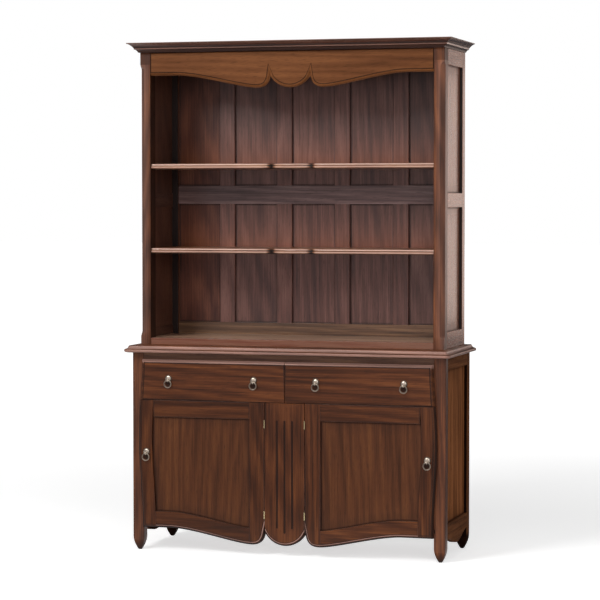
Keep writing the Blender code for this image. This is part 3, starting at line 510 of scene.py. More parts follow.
def lobe(half: float, notch: float) -> Array:
    """Return the right half of the middle lobe: an arc from its lowest point up to the notch.

    The radius is (half squared + notch squared) / (2 notch), so the arc passes through both.

    Args:
        half: Half of the lobe's width.
        notch: Height of the notch.

    Returns:
        Points x 2, from the middle outwards.
    """
    radius = (half * half + notch * notch) / (2.0 * notch)
    turn = np.linspace(0.0, math.atan2(half, radius - notch), CURVE_STEPS + 1)
    return radius * np.stack((np.sin(turn), 1.0 - np.cos(turn)), axis=1)


def wing(half: float, notch: float, rise: float) -> Array:
    """Return a wing of the cupid's bow, from the notch through its low point to its flat end.

    Two cubic curves: a steep shoulder that drops into the low point, then a long ogee.

    Args:
        half: Place of the notch.
        notch: Height of the notch.
        rise: Low point to the flat end.

    Returns:
        Points x 2, from the notch outwards.
    """
    start, low = (half, notch), (half + WING_FOOT, 0.0)
    past, share = SHOULDER_DROP
    drop = ((half + past, share * notch), (half + SHOULDER_LEVEL, 0.0))
    near, far = (low[0] + handle for handle in OGEE_HANDLES)
    shoulder = bezier((start, *drop, low), CURVE_STEPS)
    ogee = bezier((low, (near, 0.0), (far, rise), (low[0] + WING_OGEE, rise)), CURVE_STEPS)
    return np.vstack((start, shoulder, ogee))


def bow(half: float, notch: float, rise: float, end: float) -> Array:
    """Return a whole cupid's-bow edge from left to right, flat at both ends."""
    right = np.vstack((lobe(half, notch), wing(half, notch, rise)[1:], (end, rise)))
    return np.vstack((right[:0:-1] * [-1.0, 1.0], right))


def smooth_curve(knots: Array, steps: int) -> Array:
    """Draw a smooth line through points.

    Each span is a cubic whose slope at a point is half the way between its neighbours.

    Args:
        knots: Points x 2.
        steps: Points in each span.

    Returns:
        Finer points through the same places.
    """
    padded = np.vstack((2.0 * knots[:1] - knots[1:2], knots, 2.0 * knots[-1:] - knots[-2:-1]))
    before, here = padded[:-3, None], padded[1:-2, None]
    there, after = padded[2:-1, None], padded[3:, None]
    t = (np.arange(steps) / steps)[None, :, None]
    bend = 2 * before - 5 * here + 4 * there - after
    twist = 3 * here - before - 3 * there + after
    line = 0.5 * (2.0 * here + (there - before) * t + bend * t ** 2 + twist * t ** 3)
    return np.vstack((line.reshape(-1, 2), knots[-1:]))


def eased_outline(half: Array, radius: float) -> Array:
    """Return an anticlockwise rectangle about the origin with rounded corners.

    Args:
        half: Half width and half depth.
        radius: Radius of the corners.

    Returns:
        Points x 2.
    """
    turn = np.linspace(0.0, math.pi / 2, 5)
    arc = radius * np.stack((np.cos(turn), np.sin(turn)), axis=1)
    arc = np.vstack(((radius, -0.5), arc, (-0.5, radius)))
    signs = ((1, 1), (-1, 1), (-1, -1), (1, -1))
    return np.vstack([arc @ np.linalg.matrix_power([[0, 1], [-1, 0]], spin) + (half - radius) * sign
                      for spin, sign in enumerate(signs)])


def swell(height: Array) -> Array:
    """Return how far the shaped front reaches at a height: a cosine wave about its middle."""
    turn = np.clip(np.abs(height - SWELL_MIDDLE) / SWELL_REACH, 0.0, 1.0) * math.pi
    return SWELL_FOOT + SWELL_OUT / 2 * (1.0 + np.cos(turn))


def swell_edge(low: float, high: float, steps: int = 28) -> Array:
    """Return the bowed outer edge of the front, from low to high."""
    height = np.linspace(low, high, steps + 1)
    return np.stack((swell(height), height), axis=1)


def turned(profile: Array, centre: Sequence[float], stain: Array, steps: int = 36) -> Skin:
    """Turn a profile round a level axis that points forwards.

    A point at radius r and height h comes to centre + (r cos a, -h, r sin a).

    Args:
        profile: Radius and height, from the seat outwards to the crown, points x 2.
        centre: Middle of the seat.
        stain: Stain at each point of the profile.
        steps: Facets round the axis.

    Returns:
        The closed turning.
    """
    angle = np.linspace(0.0, 2.0 * math.pi, steps, endpoint=False)
    radius, height = profile[:, :1], profile[:, 1:]
    rings = np.stack(np.broadcast_arrays(centre[0] + radius * np.cos(angle), centre[1] - height,
                                         centre[2] + radius * np.sin(angle)), axis=-1)
    return stacked(rings, np.broadcast_to(stain[:, None], rings.shape[:2]))


def hoop(centre: Sequence[float], radius: float, wire: Pair, axis: Axis,
         film: float, steps: tuple[int, int] = (56, 18)) -> Skin:
    """Return a ring: a small ellipse carried round a circle.

    With angle a round the circle and b round the wire, a point lies at distance
    radius + wire[0] cos b from the middle and wire[1] sin b along the axis.

    Args:
        centre: Middle of the ring.
        radius: Radius of the circle.
        wire: Half thickness of the wire, outwards and along the axis.
        axis: The axis round which the ring runs.
        film: Dark film on the inside of the ring; hands keep its outside cleaner.
        steps: Facets round the ring and round the wire.

    Returns:
        The closed ring.
    """
    a = np.linspace(0.0, 2.0 * math.pi, steps[0], endpoint=False)[:, None]
    b = np.linspace(0.0, 2.0 * math.pi, steps[1], endpoint=False)
    out = radius + wire[0] * np.cos(b)
    ways = (out * np.cos(a), out * np.sin(a), np.broadcast_to(wire[1] * np.sin(b), steps))
    points = np.stack([ways[k] for k in axis.value], axis=-1) + np.asarray(centre, float)
    quads = lattice(steps[0] + 1, steps[1], True) % (steps[0] * steps[1])
    stain_part = np.broadcast_to(film - 0.4 * np.clip(np.cos(b), 0.0, 1.0), steps).ravel()
    return Skin(points.reshape(-1, 3), quads[:, ::-1], [], stain_part)


def linear(code: str) -> tuple[float, float, float, float]:
    """Turn an sRGB hex colour into linear red, green, blue and alpha."""
    shares = [int(code[k:k + 2], 16) / 255.0 for k in (1, 3, 5)]
    return (*(s / 12.92 if s <= 0.04045 else ((s + 0.055) / 1.055) ** 2.4 for s in shares), 1.0)


def node(tree: bpy.types.NodeTree, kind: str, inputs: Mapping[Any, Any] | None = None,
         **settings: Any) -> bpy.types.Node:
    """Add a node with its settings, and set or link its inputs.

    Args:
        tree: The node tree.
        kind: Blender's name for the shader node, without its prefix.
        inputs: Values, output sockets or nodes, for their first output, by the name or number
            of the input.
        settings: Properties of the node.

    Returns:
        The new node.
    """
    made = tree.nodes.new("ShaderNode" + kind)
    for key, value in settings.items():
        setattr(made, key, value)
    for key, value in (inputs or {}).items():
        if isinstance(value, bpy.types.Node):
            value = value.outputs[0]
        if isinstance(value, bpy.types.NodeSocket):
            tree.links.new(value, made.inputs[key])
        else:
            made.inputs[key].default_value = value
    return made


def fresh_material(name: str) -> bpy.types.Material:
    """Make a node material with nothing in it.

    Args:
        name: Name of the material.

    Returns:
        The material.
    """
    material = bpy.data.materials.new(name)
    material.use_nodes = True
    material.node_tree.nodes.clear()
    return material


@dataclass(frozen=True)
class Wood:
    """A hardwood, stained and rubbed up with polish.

    Its eye comes from four sizes of figure: slow waves of colour, growth rings that open into
    long arches where the saw grazes them, ribbon stripes and the dark flecks of open pores.

    Attributes:
        name: Common name and finish.
        dark: Colour of the late wood.
        middle: Colour of the body.
        light: Colour of the early wood.
        soot: Colour of stain, of painted shade and of the open pores.
        overlay: Colour mixed in where the stain runs below zero: painted highlights along edges,
            painted warm light on the back, and on the rack floor the colour of its front face.
        roughness: Roughness of the polish.
        specular: Strength of its reflection.
        arch: Strength of the growth rings' arches.
        stripe: Strength of the ribbon stripes.
        open_pores: How deep the pores lie open under the polish.
        handled: Places on the right half darkened behind the rings, partly painted shadow of the
            rings and partly hand grime, in millimetres.
    """

    name: str
    dark: str
    middle: str
    light: str
    soot: str = "#1a0c08"
    rub: str = "#8f6455"
    roughness: float = 0.34
    specular: float = 0.5
    arch: float = 0.22
    stripe: float = 0.5
    open_pores: float = 0.12
    handled: tuple[Place, ...] = ()

    def material(self, grain: Grain | None = None) -> bpy.types.Material:
        """Build the node material.

        Args:
            grain: The cut of a part that carries no grain of its own; else the points' own
                grain is read.

        Returns:
            The material.
        """
        suffix = "" if grain is None else "_" + grain.name.lower()
        material = fresh_material(self.name + suffix)
        tree = material.node_tree
        place, stain, tone = self.place(tree, grain)
        figure, pores = self.figure(tree, place)
        shade = node(tree, "ValToRGB", {"Fac": figure})
        ramp = shade.color_ramp
        dark, light = ramp.elements
        dark.position, dark.color = FIGURE_DARK, linear(self.dark)
        light.position, light.color = FIGURE_LIGHT, linear(self.light)
        ramp.elements.new(FIGURE_MIDDLE).color = linear(self.middle)
        soot = linear(self.soot)
        flecked = node(tree, "Mix", {
            "Factor": pores, "A": shade.outputs["Color"], "B": soot}, data_type="RGBA")
        colour = flecked.outputs["Result"]
        rough: Any = self.roughness
        if grain is None:
            toned = node(tree, "VectorMath", {0: colour, "Scale": tone}, operation="SCALE")
            # Positive stain mixes in the dark colour: dirt, and mostly painted shade
            darkened = node(tree, "Math", {0: self.thumbed(tree, stain), 1: STAIN_AND_SHADE_COVER},
                            operation="MULTIPLY", use_clamp=True)
            with_soot_and_shade = node(tree, "Mix", {"Factor": darkened, "A": toned, "B": soot}, data_type="RGBA")
            # Below zero the stain mixes in the overlay colour, mostly a painted highlight, broken
            # up by the figure
            broken = node(tree, "MapRange", {
                0: figure, 1: FIGURE_DARK, 2: FIGURE_LIGHT, 3: OVERLAY_DARK, 4: OVERLAY_LIGHT})
            rubbed = node(tree, "Math", {0: stain, 1: broken}, operation="MULTIPLY", use_clamp=True)
            worn = node(tree, "Mix", {
                "Factor": rubbed, "A": with_soot_and_shade.outputs["Result"], "B": linear(self.rub)},
                data_type="RGBA")
            colour = worn.outputs["Result"]
            dulled = node(tree, "Math", {0: darkened, 1: STAIN_AND_SHADE_DULL, 2: rough},
                          operation="MULTIPLY_ADD")
            rough = dulled.outputs[0]
        haze = node(tree, "Math", {0: pores, 1: PORE_DULL, 2: rough}, operation="MULTIPLY_ADD")
        bump = node(tree, "Bump", {
            "Height": pores, "Strength": self.open_pores, "Distance": PORE_DEPTH * MM}, invert=True)
        surface = node(tree, "BsdfPrincipled", {
            "Base Color": colour, "Roughness": haze, "IOR": 1.5,
            "Normal": bump, "Specular IOR Level": self.specular})
        node(tree, "OutputMaterial", {"Surface": surface})
        return material

    def thumbed(self, tree: bpy.types.NodeTree, stain: Any) -> Any:
        """Add the dark disc behind each ring, partly painted shadow of the ring and partly hand
        grime, to the stain.

        Args:
            tree: The material's node tree.
            stain: Socket with the stain and painted shading.

        Returns:
            Socket with the sum.
        """
        if not self.handled:
            return stain
        where = node(tree, "TexCoord")
        right = node(tree, "VectorMath", {0: where.outputs["Object"]}, operation="ABSOLUTE")
        for spot in self.handled:
            centre = tuple(abs(value) * MM for value in spot)
            apart = node(tree, "VectorMath", {0: right, 1: centre}, operation="DISTANCE")
            dark = node(tree, "MapRange", {
                0: apart.outputs["Value"], 1: RING_DARK_FULL * MM, 2: RING_DARK_GONE * MM, 3: 0.95, 4: 0.0})
            total = node(tree, "Math", {0: stain, 1: dark}, operation="ADD")
            stain = total.outputs[0]
        return stain

    def place(self, tree: bpy.types.NodeTree, grain: Grain | None) -> tuple[Any, Any, Any]:
        """Find each point's place in the log, its stain and painted shading, and its tone.

        Args:
            tree: The material's node tree.
            grain: The cut of a part that carries no grain of its own.

        Returns:
            Sockets for the place in metres, the stain and painted shading, and the tone.
        """
        if grain is None:
            names = ("grain", "stain", "tone")
            log, stain, tone = [node(tree, "Attribute", attribute_name=n) for n in names]
            return log.outputs["Vector"], stain.outputs["Fac"], tone.outputs["Fac"]
        where = node(tree, "TexCoord")
        apart = node(tree, "SeparateXYZ", {0: where.outputs["Object"]})
        along, across, through = [apart.outputs[k] for k in grain.value]
        log = node(tree, "CombineXYZ", {0: along, 1: across, 2: through})
        return log.outputs[0], None, None

    def figure(self, tree: bpy.types.NodeTree, place: Any) -> tuple[Any, Any]:
        """Build the figure of the wood from its real sizes.

        Pores are a fifth of a millimetre wide; they are drawn twelve times as wide to show.

        Args:
            tree: The material's node tree.
            place: Socket with the place in the log, in metres.

        Returns:
            Sockets for the figure, 0 dark to 1 light, and for the pores.
        """
        def scaled(along: float, across: float) -> Any:
            """Return the place counted in lengths along and across the grain, in millimetres."""
            sizes = (1.0 / MM / along, 1.0 / MM / across, 1.0 / MM / across)
            return node(tree, "VectorMath", {0: place, 1: sizes}, operation="MULTIPLY").outputs[0]

        waves = node(tree, "TexNoise", {
            "Vector": scaled(*WAVES), "Scale": 1.0, "Detail": 2.0, "Distortion": 0.6})
        rings = node(tree, "TexWave", {
            "Vector": scaled(*RINGS), "Scale": 3.2, "Distortion": 7.0,
            "Detail": 3.0, "Detail Scale": 1.2, "Detail Roughness": 0.6},
            wave_type="RINGS", rings_direction="SPHERICAL", wave_profile="SIN")
        ribbon = node(tree, "TexNoise", {
            "Vector": scaled(*RIBBONS), "Scale": 1.0, "Detail": 3.0, "Roughness": 0.7})
        fleck = node(tree, "TexNoise", {"Vector": scaled(*PORES), "Scale": 1.0, "Detail": 1.0})
        pores = node(tree, "MapRange", {0: fleck, 1: 0.56, 2: 0.78, 3: 0.0, 4: 0.5})
        ringed = node(tree, "Mix", {
            "Factor": self.arch, "A": waves, "B": rings.outputs["Fac"]}, data_type="FLOAT")
        striped = node(tree, "Mix", {
            "Factor": self.stripe, "A": ringed, "B": ribbon}, data_type="FLOAT")
        return striped.outputs[0], pores.outputs[0]


@dataclass(frozen=True)
class Metal:
    """A cast metal, polished once and since dulled by handling.

    Raised places stay bright, hollows keep a dark film and a fine cloud varies the gloss.

    Attributes:
        name: Common name and finish.
        bright: Colour where hands keep it clean.
        film: Colour of the dark film.
        roughness: Roughness of the bright metal.
    """

    name: str
    bright: str
    film: str
    roughness: float

    def material(self) -> bpy.types.Material:
        """Build the node material, its cloud as large as finger wear.

        Returns:
            The material.
        """
        material = fresh_material(self.name)
        tree = material.node_tree
        where = node(tree, "TexCoord")
        cloud = node(tree, "TexNoise", {
            "Vector": where.outputs["Object"], "Scale": 1.0 / MM / FINGER_WEAR, "Detail": 3.0})
        stain = node(tree, "Attribute", attribute_name="stain")
        dull = node(tree, "Math", {0: cloud, 1: 0.5, 2: stain.outputs["Fac"]},
                    operation="MULTIPLY_ADD", use_clamp=True)
        colour = node(tree, "Mix", {
            "Factor": dull, "A": linear(self.bright), "B": linear(self.film)}, data_type="RGBA")
        rough = node(tree, "Math", {0: dull, 1: 0.25, 2: self.roughness}, operation="MULTIPLY_ADD")
        surface = node(tree, "BsdfPrincipled", {
            "Base Color": colour.outputs["Result"], "Metallic": 1.0, "Roughness": rough})
        node(tree, "OutputMaterial", {"Surface": surface})
        return material


# The colours of each wood stand from dark to light.

# Mahogany, stained red-brown, grain filled and hand polished: a satin film over deep colour, its
# overlay the colour of the painted highlights
POLISHED = Wood("mahogany_polished", "#31190c", "#542c16", "#794523",
                rub="#b89286", specular=0.22)
# The same polish on the cornice, glossier, so its hollows shine, with a painted highlight on its
# fillets
CORNICE_WOOD = Wood("mahogany_polished_cornice", "#351b12", "#502a1b", "#6a3d29",
                    rub="#c9a99c", roughness=0.2, specular=0.3, open_pores=0.04)
# Plain-sawn board of the same wood, its arches left paler under a dull polish
FRIEZE_WOOD = Wood("mahogany_polished_frieze", "#5d351b", "#704324", "#804f2c",
                   rub="#744728", specular=0.08, roughness=0.4, arch=0.16, stripe=0.14)
# Sunk panels, quarter sawn, so that fine stripes stand upright
PANEL_WOOD = Wood("mahogany_polished_panel", "#3d200e", "#532d17", "#673c1e",
                  roughness=0.38, specular=0.2)
# The rack's ends, waxed to a clear gloss that takes the light along the grain; their colours are
# painted paler and warmer than the front's, in part for the cream sheen on the ends
END_WOOD = Wood("mahogany_waxed_end", "#6a3c28", "#8f553c", "#ad7354",
                roughness=0.24, specular=0.4, open_pores=0.02)
# Base ends, oiled rather than waxed, so they stay deep in colour and without shine
FLANK_WOOD = Wood("mahogany_oiled_end", "#4e2c12", "#734424", "#905a34",
                  roughness=0.75, specular=0.04)
# Shelves, rubbed pale by use, with a painted highlight along each nose
SHELF_WOOD = Wood("mahogany_rubbed_shelf", "#5a3320", "#7d5038", "#a07352",
                  roughness=0.3, rub="#c4a090")
# Rail under the base top, the same wood with less shine in its shade
RAIL_WOOD = replace(SHELF_WOOD, name="mahogany_polished_rail", specular=0.32)
# Floor of the rack, painted pale greyish for the sheen on its top seen at a grazing angle; its
# overlay is the colour of its front face
FLOOR_WOOD = Wood("mahogany_bleached_floor", "#6a5040", "#8a6c58", "#a68a74",
                  rub="#68331c", roughness=0.3)
# Backboards, sealed but never rubbed, purplish brown with a thin shine; part of the purplish grey
# is painted sheen, and the overlay paints warm light above the shelves
BACK_WOOD = Wood("mahogany_sealed_back", "#3b2420", "#55352d", "#6e4b42",
                 rub="#8e4c24")
# One board of the back, at the left, painted darker and redder for the shade of the rack's left end
SHADED_BACK_WOOD = replace(BACK_WOOD, name="mahogany_sealed_back_red", dark="#321a14",
                        middle="#4a291f", light="#663d2d", specular=0.38)
# The foot rail of the back, painted lighter and golden brown for light thrown up off the floor
# board
LIT_RAIL_WOOD = replace(BACK_WOOD, name="mahogany_sealed_rail_faded", dark="#3a2619",
                          middle="#5c402c", light="#806045")
# The middle rail of the back, painted greyer for a thin sheen
SHEEN_RAIL_WOOD = replace(BACK_WOOD, name="mahogany_sealed_rail_bloomed", dark="#3d2b29",
                         middle="#56403d", light="#705a57")
# Linings of the drawers, planed and left bare: pale, dry and without shine
LINING = Wood("hardwood_planed_lining", "#8a6139", "#ac8454", "#c9a574",
              soot="#5c3d20", rub="#d8ba8c", roughness=0.62, specular=0.3)
# Cast nickel, polished: warm white where hands keep it clean, brown-black in the hollows
NICKEL = Metal("nickel_cast_worn", bright="#dacab8", film="#32261d", roughness=0.30)
# Pressed brass, polished once: a thin gold line beside the pilaster, the leaves painted dark in its
# film colour for the shade beside the knuckles
BRASS = Metal("brass_pressed", bright="#f0dcae", film="#4a3516", roughness=0.2)


@cache
def material_of(finish: Wood | Metal, grain: Grain | None = None) -> bpy.types.Material:
    """Return the material of a finish, made on its first use."""
    return finish.material(grain) if isinstance(finish, Wood) else finish.material()


def make_piece(name: str, skin: Skin, finish: Wood | Metal, stands_for: str,
               body: str = "carcase") -> None:
    """Put a skin into the scene as a piece of the dresser.

    Args:
        name: Name of the piece.
        skin: Its closed surface, cut from its log.
        finish: Its finish.
        stands_for: Node of the frame that it stands for.
        body: The body that it moves with.
    """
    mesh = bpy.data.meshes.new(name)
    faces = skin.quads.tolist() + [cap.tolist() for cap in skin.caps]
    mesh.from_pydata(skin.points * MM, [], faces)
    smooth = np.ones(len(faces), bool)
    smooth[len(skin.quads):] = False
    mesh.set_sharp_from_angle(angle=SHARP)
    mesh.polygons.foreach_set("use_smooth", smooth)
    for label, kind, key, values in (("grain", "FLOAT_VECTOR", "vector", skin.grain * MM),
                                     ("stain", "FLOAT", "value", skin.stain),
                                     ("tone", "FLOAT", "value", skin.tone)):
        layer = mesh.attributes.new(label, kind, "POINT")
        layer.data.foreach_set(key, values.astype(np.float32).ravel())
    obj = bpy.data.objects.new(name, mesh)
    bpy.context.scene.collection.objects.link(obj)
    mesh.materials.append(material_of(finish))
    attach(obj, body)
    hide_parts(stands_for)
    LOG.info("%s: %d faces on %s", name, len(faces), body)


def dress(finish: Wood, grain: Grain, *nodes: str) -> None:
    """Give nodes of the frame a finish by the way their boards are cut.

    Args:
        finish: The wood.
        grain: The cut.
        nodes: Names of the nodes.
    """
    for name in nodes:
        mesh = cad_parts[name].data
        mesh.materials.clear()
        mesh.materials.append(material_of(finish, grain))
        LOG.info("%s: dressed", name)


@dataclass
class BaseTop:
    """The base top, with an ogee round its front and ends."""

    half_width: float = 708.0
    back: float = 255.0
    high: float = 873.0
    thick: float = 30.0
    edge: float = 22.0
    corner: float = 24.0
    ogee: tuple[Pair, ...] = (
        (0.64, 0.00), (0.18, 0.08), (0.00, 0.20), (0.00, 0.38), (0.12, 0.48),
        (0.34, 0.54), (0.60, 0.62), (0.78, 0.77), (0.87, 0.90), (1.00, 1.00))
    quirk_at: float = 0.50
    line: float = 0.05
    # Painted shade lines at the foot and the quirk, and a painted highlight over the rest of the
    # ogee
    grime: Pair = (0.9, 1.1)
    rub: float = 0.5
    rubbed_to: float = 0.95
    tone: float = 1.12

    def skin(self) -> Skin:
        """Stack the outline up the ogee: at inset i the corners turn at radius corner - i.

        At share s of the height, painted shade lines lie along the foot and the quirk as exp(-(d /
        line)^2), d being the share's distance from each; the rest, but for its top, carries a
        painted highlight.

        Returns:
            The closed top.
        """
        fine = smooth_curve(np.array(self.ogee), 4)
        inset_by, rise = np.maximum(fine[:, 0], 0.0) * self.edge, fine[:, 1] * self.thick
        turn = np.linspace(0.0, math.pi / 2, 13)
        radius = (self.corner - inset_by)[:, None]
        end = self.half_width - inset_by[:, None]
        x = end - radius * (1.0 - np.sin(turn))
        y = inset_by[:, None] - self.back + radius * (1.0 - np.cos(turn))
        x = np.hstack((x[:, :1] - 1.0, x, end, end))
        y = np.hstack((y[:, :1], y, y[:, -1:] + 1.0, np.full_like(end, self.back)))
        x, y = np.hstack((-x[:, ::-1], x)), np.hstack((y[:, ::-1], y))
        z = np.broadcast_to((self.high - self.thick + rise)[:, None], x.shape)
        share = rise / self.thick
        foot, quirk = (deep * np.exp(-((share - at) / self.line) ** 2)
                       for deep, at in zip(self.grime, (0.0, self.quirk_at)))
        stain = quirk + foot - self.rub * (share < self.rubbed_to)
        return stacked(np.stack((x, y, z), axis=-1), np.broadcast_to(stain[:, None], x.shape))

    def build(self) -> None:
        """Make the top."""
        skin = self.skin().cut(Grain.SHELF, "base top", self.tone)
        make_piece("top_moulded", skin, POLISHED, "base_top")


@dataclass
class BaseSides:
    """Legs, rails, aprons and panels of the base's two ends."""

    leg_width: float = 50.0
    front: float = -203.0
    front_depth: float = 38.0
    rear_front: float = 202.0
    rear: float = 252.0
    top: float = 842.7
    foot: float = 60.0
    tip: float = 0.24
    rail_low: float = 788.7
    apron_top: float = 156.0
    apron_ends: float = 94.0
    apron_drop: float = 36.0
    taper: float = 1.9
    corner: float = 2.2
    # How far up each foot the darkening reaches, and how dark; on the rear feet it is partly
    # painted shade
    front_dirt: Pair = (0.4, 0.65)
    rear_dirt: Pair = (0.95, 1.1)
    front_rail: Pair = (630.7, 796.7)
    front_rail_thick: float = 22.0
    leg_tones: Pair = (0.88, 1.22)
    apron_tone: float = 0.85
    panel_tone: float = 1.55
    front_rail_tone: float = 0.56

    def leg(self, front: float, back: float) -> Skin:
        """Return a right-hand square leg whose foot tapers in a curve to a blunt tip.

        At share t of the foot's height each side keeps tip + (1 - tip)(1 - (1 - t)^taper) of its
        half width; the corners are eased by arcs that shrink with it.

        Args:
            front: Front of the leg.
            back: Back of the leg.

        Returns:
            The closed leg.
        """
        middle = np.array([LEG_OUT - self.leg_width / 2, (front + back) / 2])
        half = np.array([self.leg_width, back - front]) / 2
        t = np.linspace(0.0, 1.0, 25)
        share = self.tip + (1.0 - self.tip) * (1.0 - (1.0 - t) ** self.taper)
        share[0] = 0.8 * self.tip
        share = np.hstack((share, [1.0, 1.0, 1.0 - ARRIS / half.max()]))
        height = np.hstack((self.foot * t, [1.2 * self.foot, self.top - ARRIS, self.top]))
        flat = eased_outline(half, self.corner) * share[:, None, None] + middle
        upright = np.broadcast_to(height[:, None, None], (*flat.shape[:2], 1))
        rings = np.concatenate((flat, upright), axis=-1)
        in_front = front == self.front
        # Each foot darker towards the floor, the rear ones partly as painted shade, and the rest
        # slightly mixed with the overlay colour; the rear legs' inner faces take full painted shade
        reach, deep = self.front_dirt if in_front else self.rear_dirt
        levels = np.array([0.0, reach, reach + 0.3]) * self.foot
        foot_dark = np.interp(height, levels, [FULL_DARK, deep, -0.04])[:, None]
        inside = (rings[..., 1] < self.rear_front + 0.5) & (rings[..., 0] < LEG_OUT - 1.0)
        return stacked(rings, np.where(inside & (not in_front), FULL_DARK, foot_dark))

    def apron(self) -> Skin:
        """Cut the right-hand apron, whose lower edge drops in one full cosine wave.

        Returns:
            The closed apron, with painted shade on its inner face.
        """
        start = self.front + self.front_depth + CLEAR
        share = np.linspace(0.0, 1.0, 41)
        low = self.apron_ends - self.apron_drop * (1.0 - np.cos(2.0 * math.pi * share)) / 2
        lower = np.stack((start + (self.rear_front - start) * share, low), axis=1)
        outline = np.vstack((lower, (self.rear_front, self.apron_top), (start, self.apron_top)))
        made = worked_board(outline, eased_section(RAIL_THICK), LEG_OUT, Facing.RIGHT)
        # Painted shade on the inner face
        made.stain = np.where(made.points[:, 0] < LEG_OUT - RAIL_THICK / 2, 1.0, made.stain)
        return made

    def build(self) -> None:
        """Make both ends."""
        start = self.front + self.front_depth
        for side in Side:
            word = side.word
            leg = self.leg(self.front, start).handed(side)
            leg = leg.cut(Grain.UPRIGHT, "front leg " + word, side.pick(self.leg_tones))
            make_piece("leg_front_" + word, leg, POLISHED, "front_leg_" + word)
            rail = plank((start + CLEAR, self.rail_low), (self.rear_front, self.top), LEG_OUT,
                         RAIL_THICK, Facing.RIGHT)
            rear = self.leg(self.rear_front, self.rear)
            boards = (rear.handed(side).cut(Grain.UPRIGHT, "rear leg " + word),
                      rail.handed(side).cut(Grain.DEEP, "end rail " + word),
                      self.apron().handed(side).cut(Grain.DEEP, "apron " + word, self.apron_tone))
            make_piece("end_frame_" + word, joined(boards), FLANK_WOOD, "base_side_frame_" + word)
            outline = oblong((start - TONGUE, self.apron_top - TONGUE),
                             (self.rear_front + TONGUE, self.rail_low + TONGUE))
            board = panel(outline, LEG_OUT - PANEL_RECESS, PANEL_THICK, Facing.RIGHT).handed(side)
            board = board.cut(Grain.UPRIGHT, "end panel " + word, self.panel_tone)
            make_piece("end_panel_" + word, board, FLANK_WOOD, "base_side_panel_" + word)
        half, low = self.front_rail
        rail = plank((-half, low), (half, self.top), self.front, self.front_rail_thick,
                     Facing.FRONT)
        rail = rail.cut(Grain.LEVEL, "front rail", self.front_rail_tone)
        make_piece("front_rail", rail, RAIL_WOOD, "front_top_rail")
        dress(BACK_WOOD, Grain.SHELF, "drawer_deck", "cupboard_floor")
        dress(BACK_WOOD, Grain.DEEP, "drawer_partition")
        dress(BACK_WOOD, Grain.UPRIGHT, "centre_post", "base_back")


@dataclass
class Pilaster:
    """The centre pilaster with three flutes and a round moulded foot."""

    half: float = 86.0
    pitch: float = 33.0
    flute_radius: float = 5.0
    flute_depth: float = 3.0
    flute_top: float = 571.5
    flute_low: tuple[float, ...] = (117.5, 97.5, 117.5)
    # Painted shade in the flutes, strongest where they are deepest
    grime: float = 1.1
    tone: float = 0.82
    columns: int = 249
    # Rows up the face as shares of its height, closer where the flutes end
    rows: tuple[tuple[float, float, int], ...] = (
        (0.0, 0.05, 3), (0.055, 0.13, 70), (0.18, 0.84, 8), (0.86, 0.885, 34), (0.9, 1.0, 3))

    def sunk(self, x: Array, z: Array) -> Array:
        """Return the depth of the flutes at points of the face.

        Each flute is a round-ended groove: at distance d from its spine it is as deep as a
        circle of the flute's radius reaches below the face.

        Args:
            x: Places across the face.
            z: Heights.

        Returns:
            Depths.
        """
        deep = np.zeros_like(x)
        back = self.flute_radius - self.flute_depth
        for number, low in zip((-1, 0, 1), self.flute_low):
            spine = np.clip(z, low + self.flute_radius, self.flute_top - self.flute_radius)
            apart = np.hypot(x - number * self.pitch, z - spine)
            under = np.sqrt(np.maximum(self.flute_radius ** 2 - apart ** 2, 0.0)) - back
            deep = np.maximum(deep, under)
        return deep

    def skin(self) -> Skin:
        """Carry the foot's section along its arc and draw the fluted face up from it.

        Column i starts at a point of the arc; its moulding is set off along the arc's normal and
        its face runs straight up to the head of the pilaster.

        Returns:
            The closed pilaster.
        """
        x = np.linspace(-self.half, self.half, self.columns)
        radius = (self.half ** 2 + NOTCH ** 2) / (2.0 * NOTCH)
        fall = np.sqrt(radius ** 2 - x ** 2)
        z = LOBE_LOW + radius - fall
        normal = np.stack((-x / radius, fall / radius), axis=1)
        normal[[0, -1]] = np.stack((np.zeros(2), 1.0 / normal[[0, -1], 1]), axis=1)
        edge = ovolo_section(FACE_THICK, FRONT_MOULD)
        foot = np.stack((x, z), axis=1)[None] + normal[None] * edge.worked[:, None, None]
        share = np.hstack([np.linspace(*rows) for rows in self.rows])[1:, None, None]
        head = np.stack((x, np.full_like(x, DOOR_TOP)), axis=1)[None]
        face = foot[-1:] * (1.0 - share) + head * share
        deep = self.sunk(face[..., 0], face[..., 1])
        flat = np.vstack((head, foot, face))
        back = np.zeros((1, len(x)))
        moulding, dark = (np.broadcast_to(values[:, None], foot.shape[:2])
                          for values in (edge.depth, edge.stain))
        depth = np.vstack((back + FACE_THICK, moulding, deep))
        # The flutes take painted shade by their depth
        stain = np.vstack((back, dark, self.grime * np.sqrt(deep / self.flute_depth)))
        points = np.stack((flat[..., 0], FACE + depth, flat[..., 1]), axis=-1)
        made = stacked(points.transpose(1, 0, 2), stain.T)
        made.quads = made.quads[:, ::-1]
        made.caps = [cap[::-1] for cap in made.caps]
        return made

    def build(self) -> None:
        """Make the pilaster."""
        skin = self.skin().cut(Grain.UPRIGHT, "pilaster", self.tone)
        make_piece("pilaster_fluted", skin, POLISHED, "centre_pilaster")


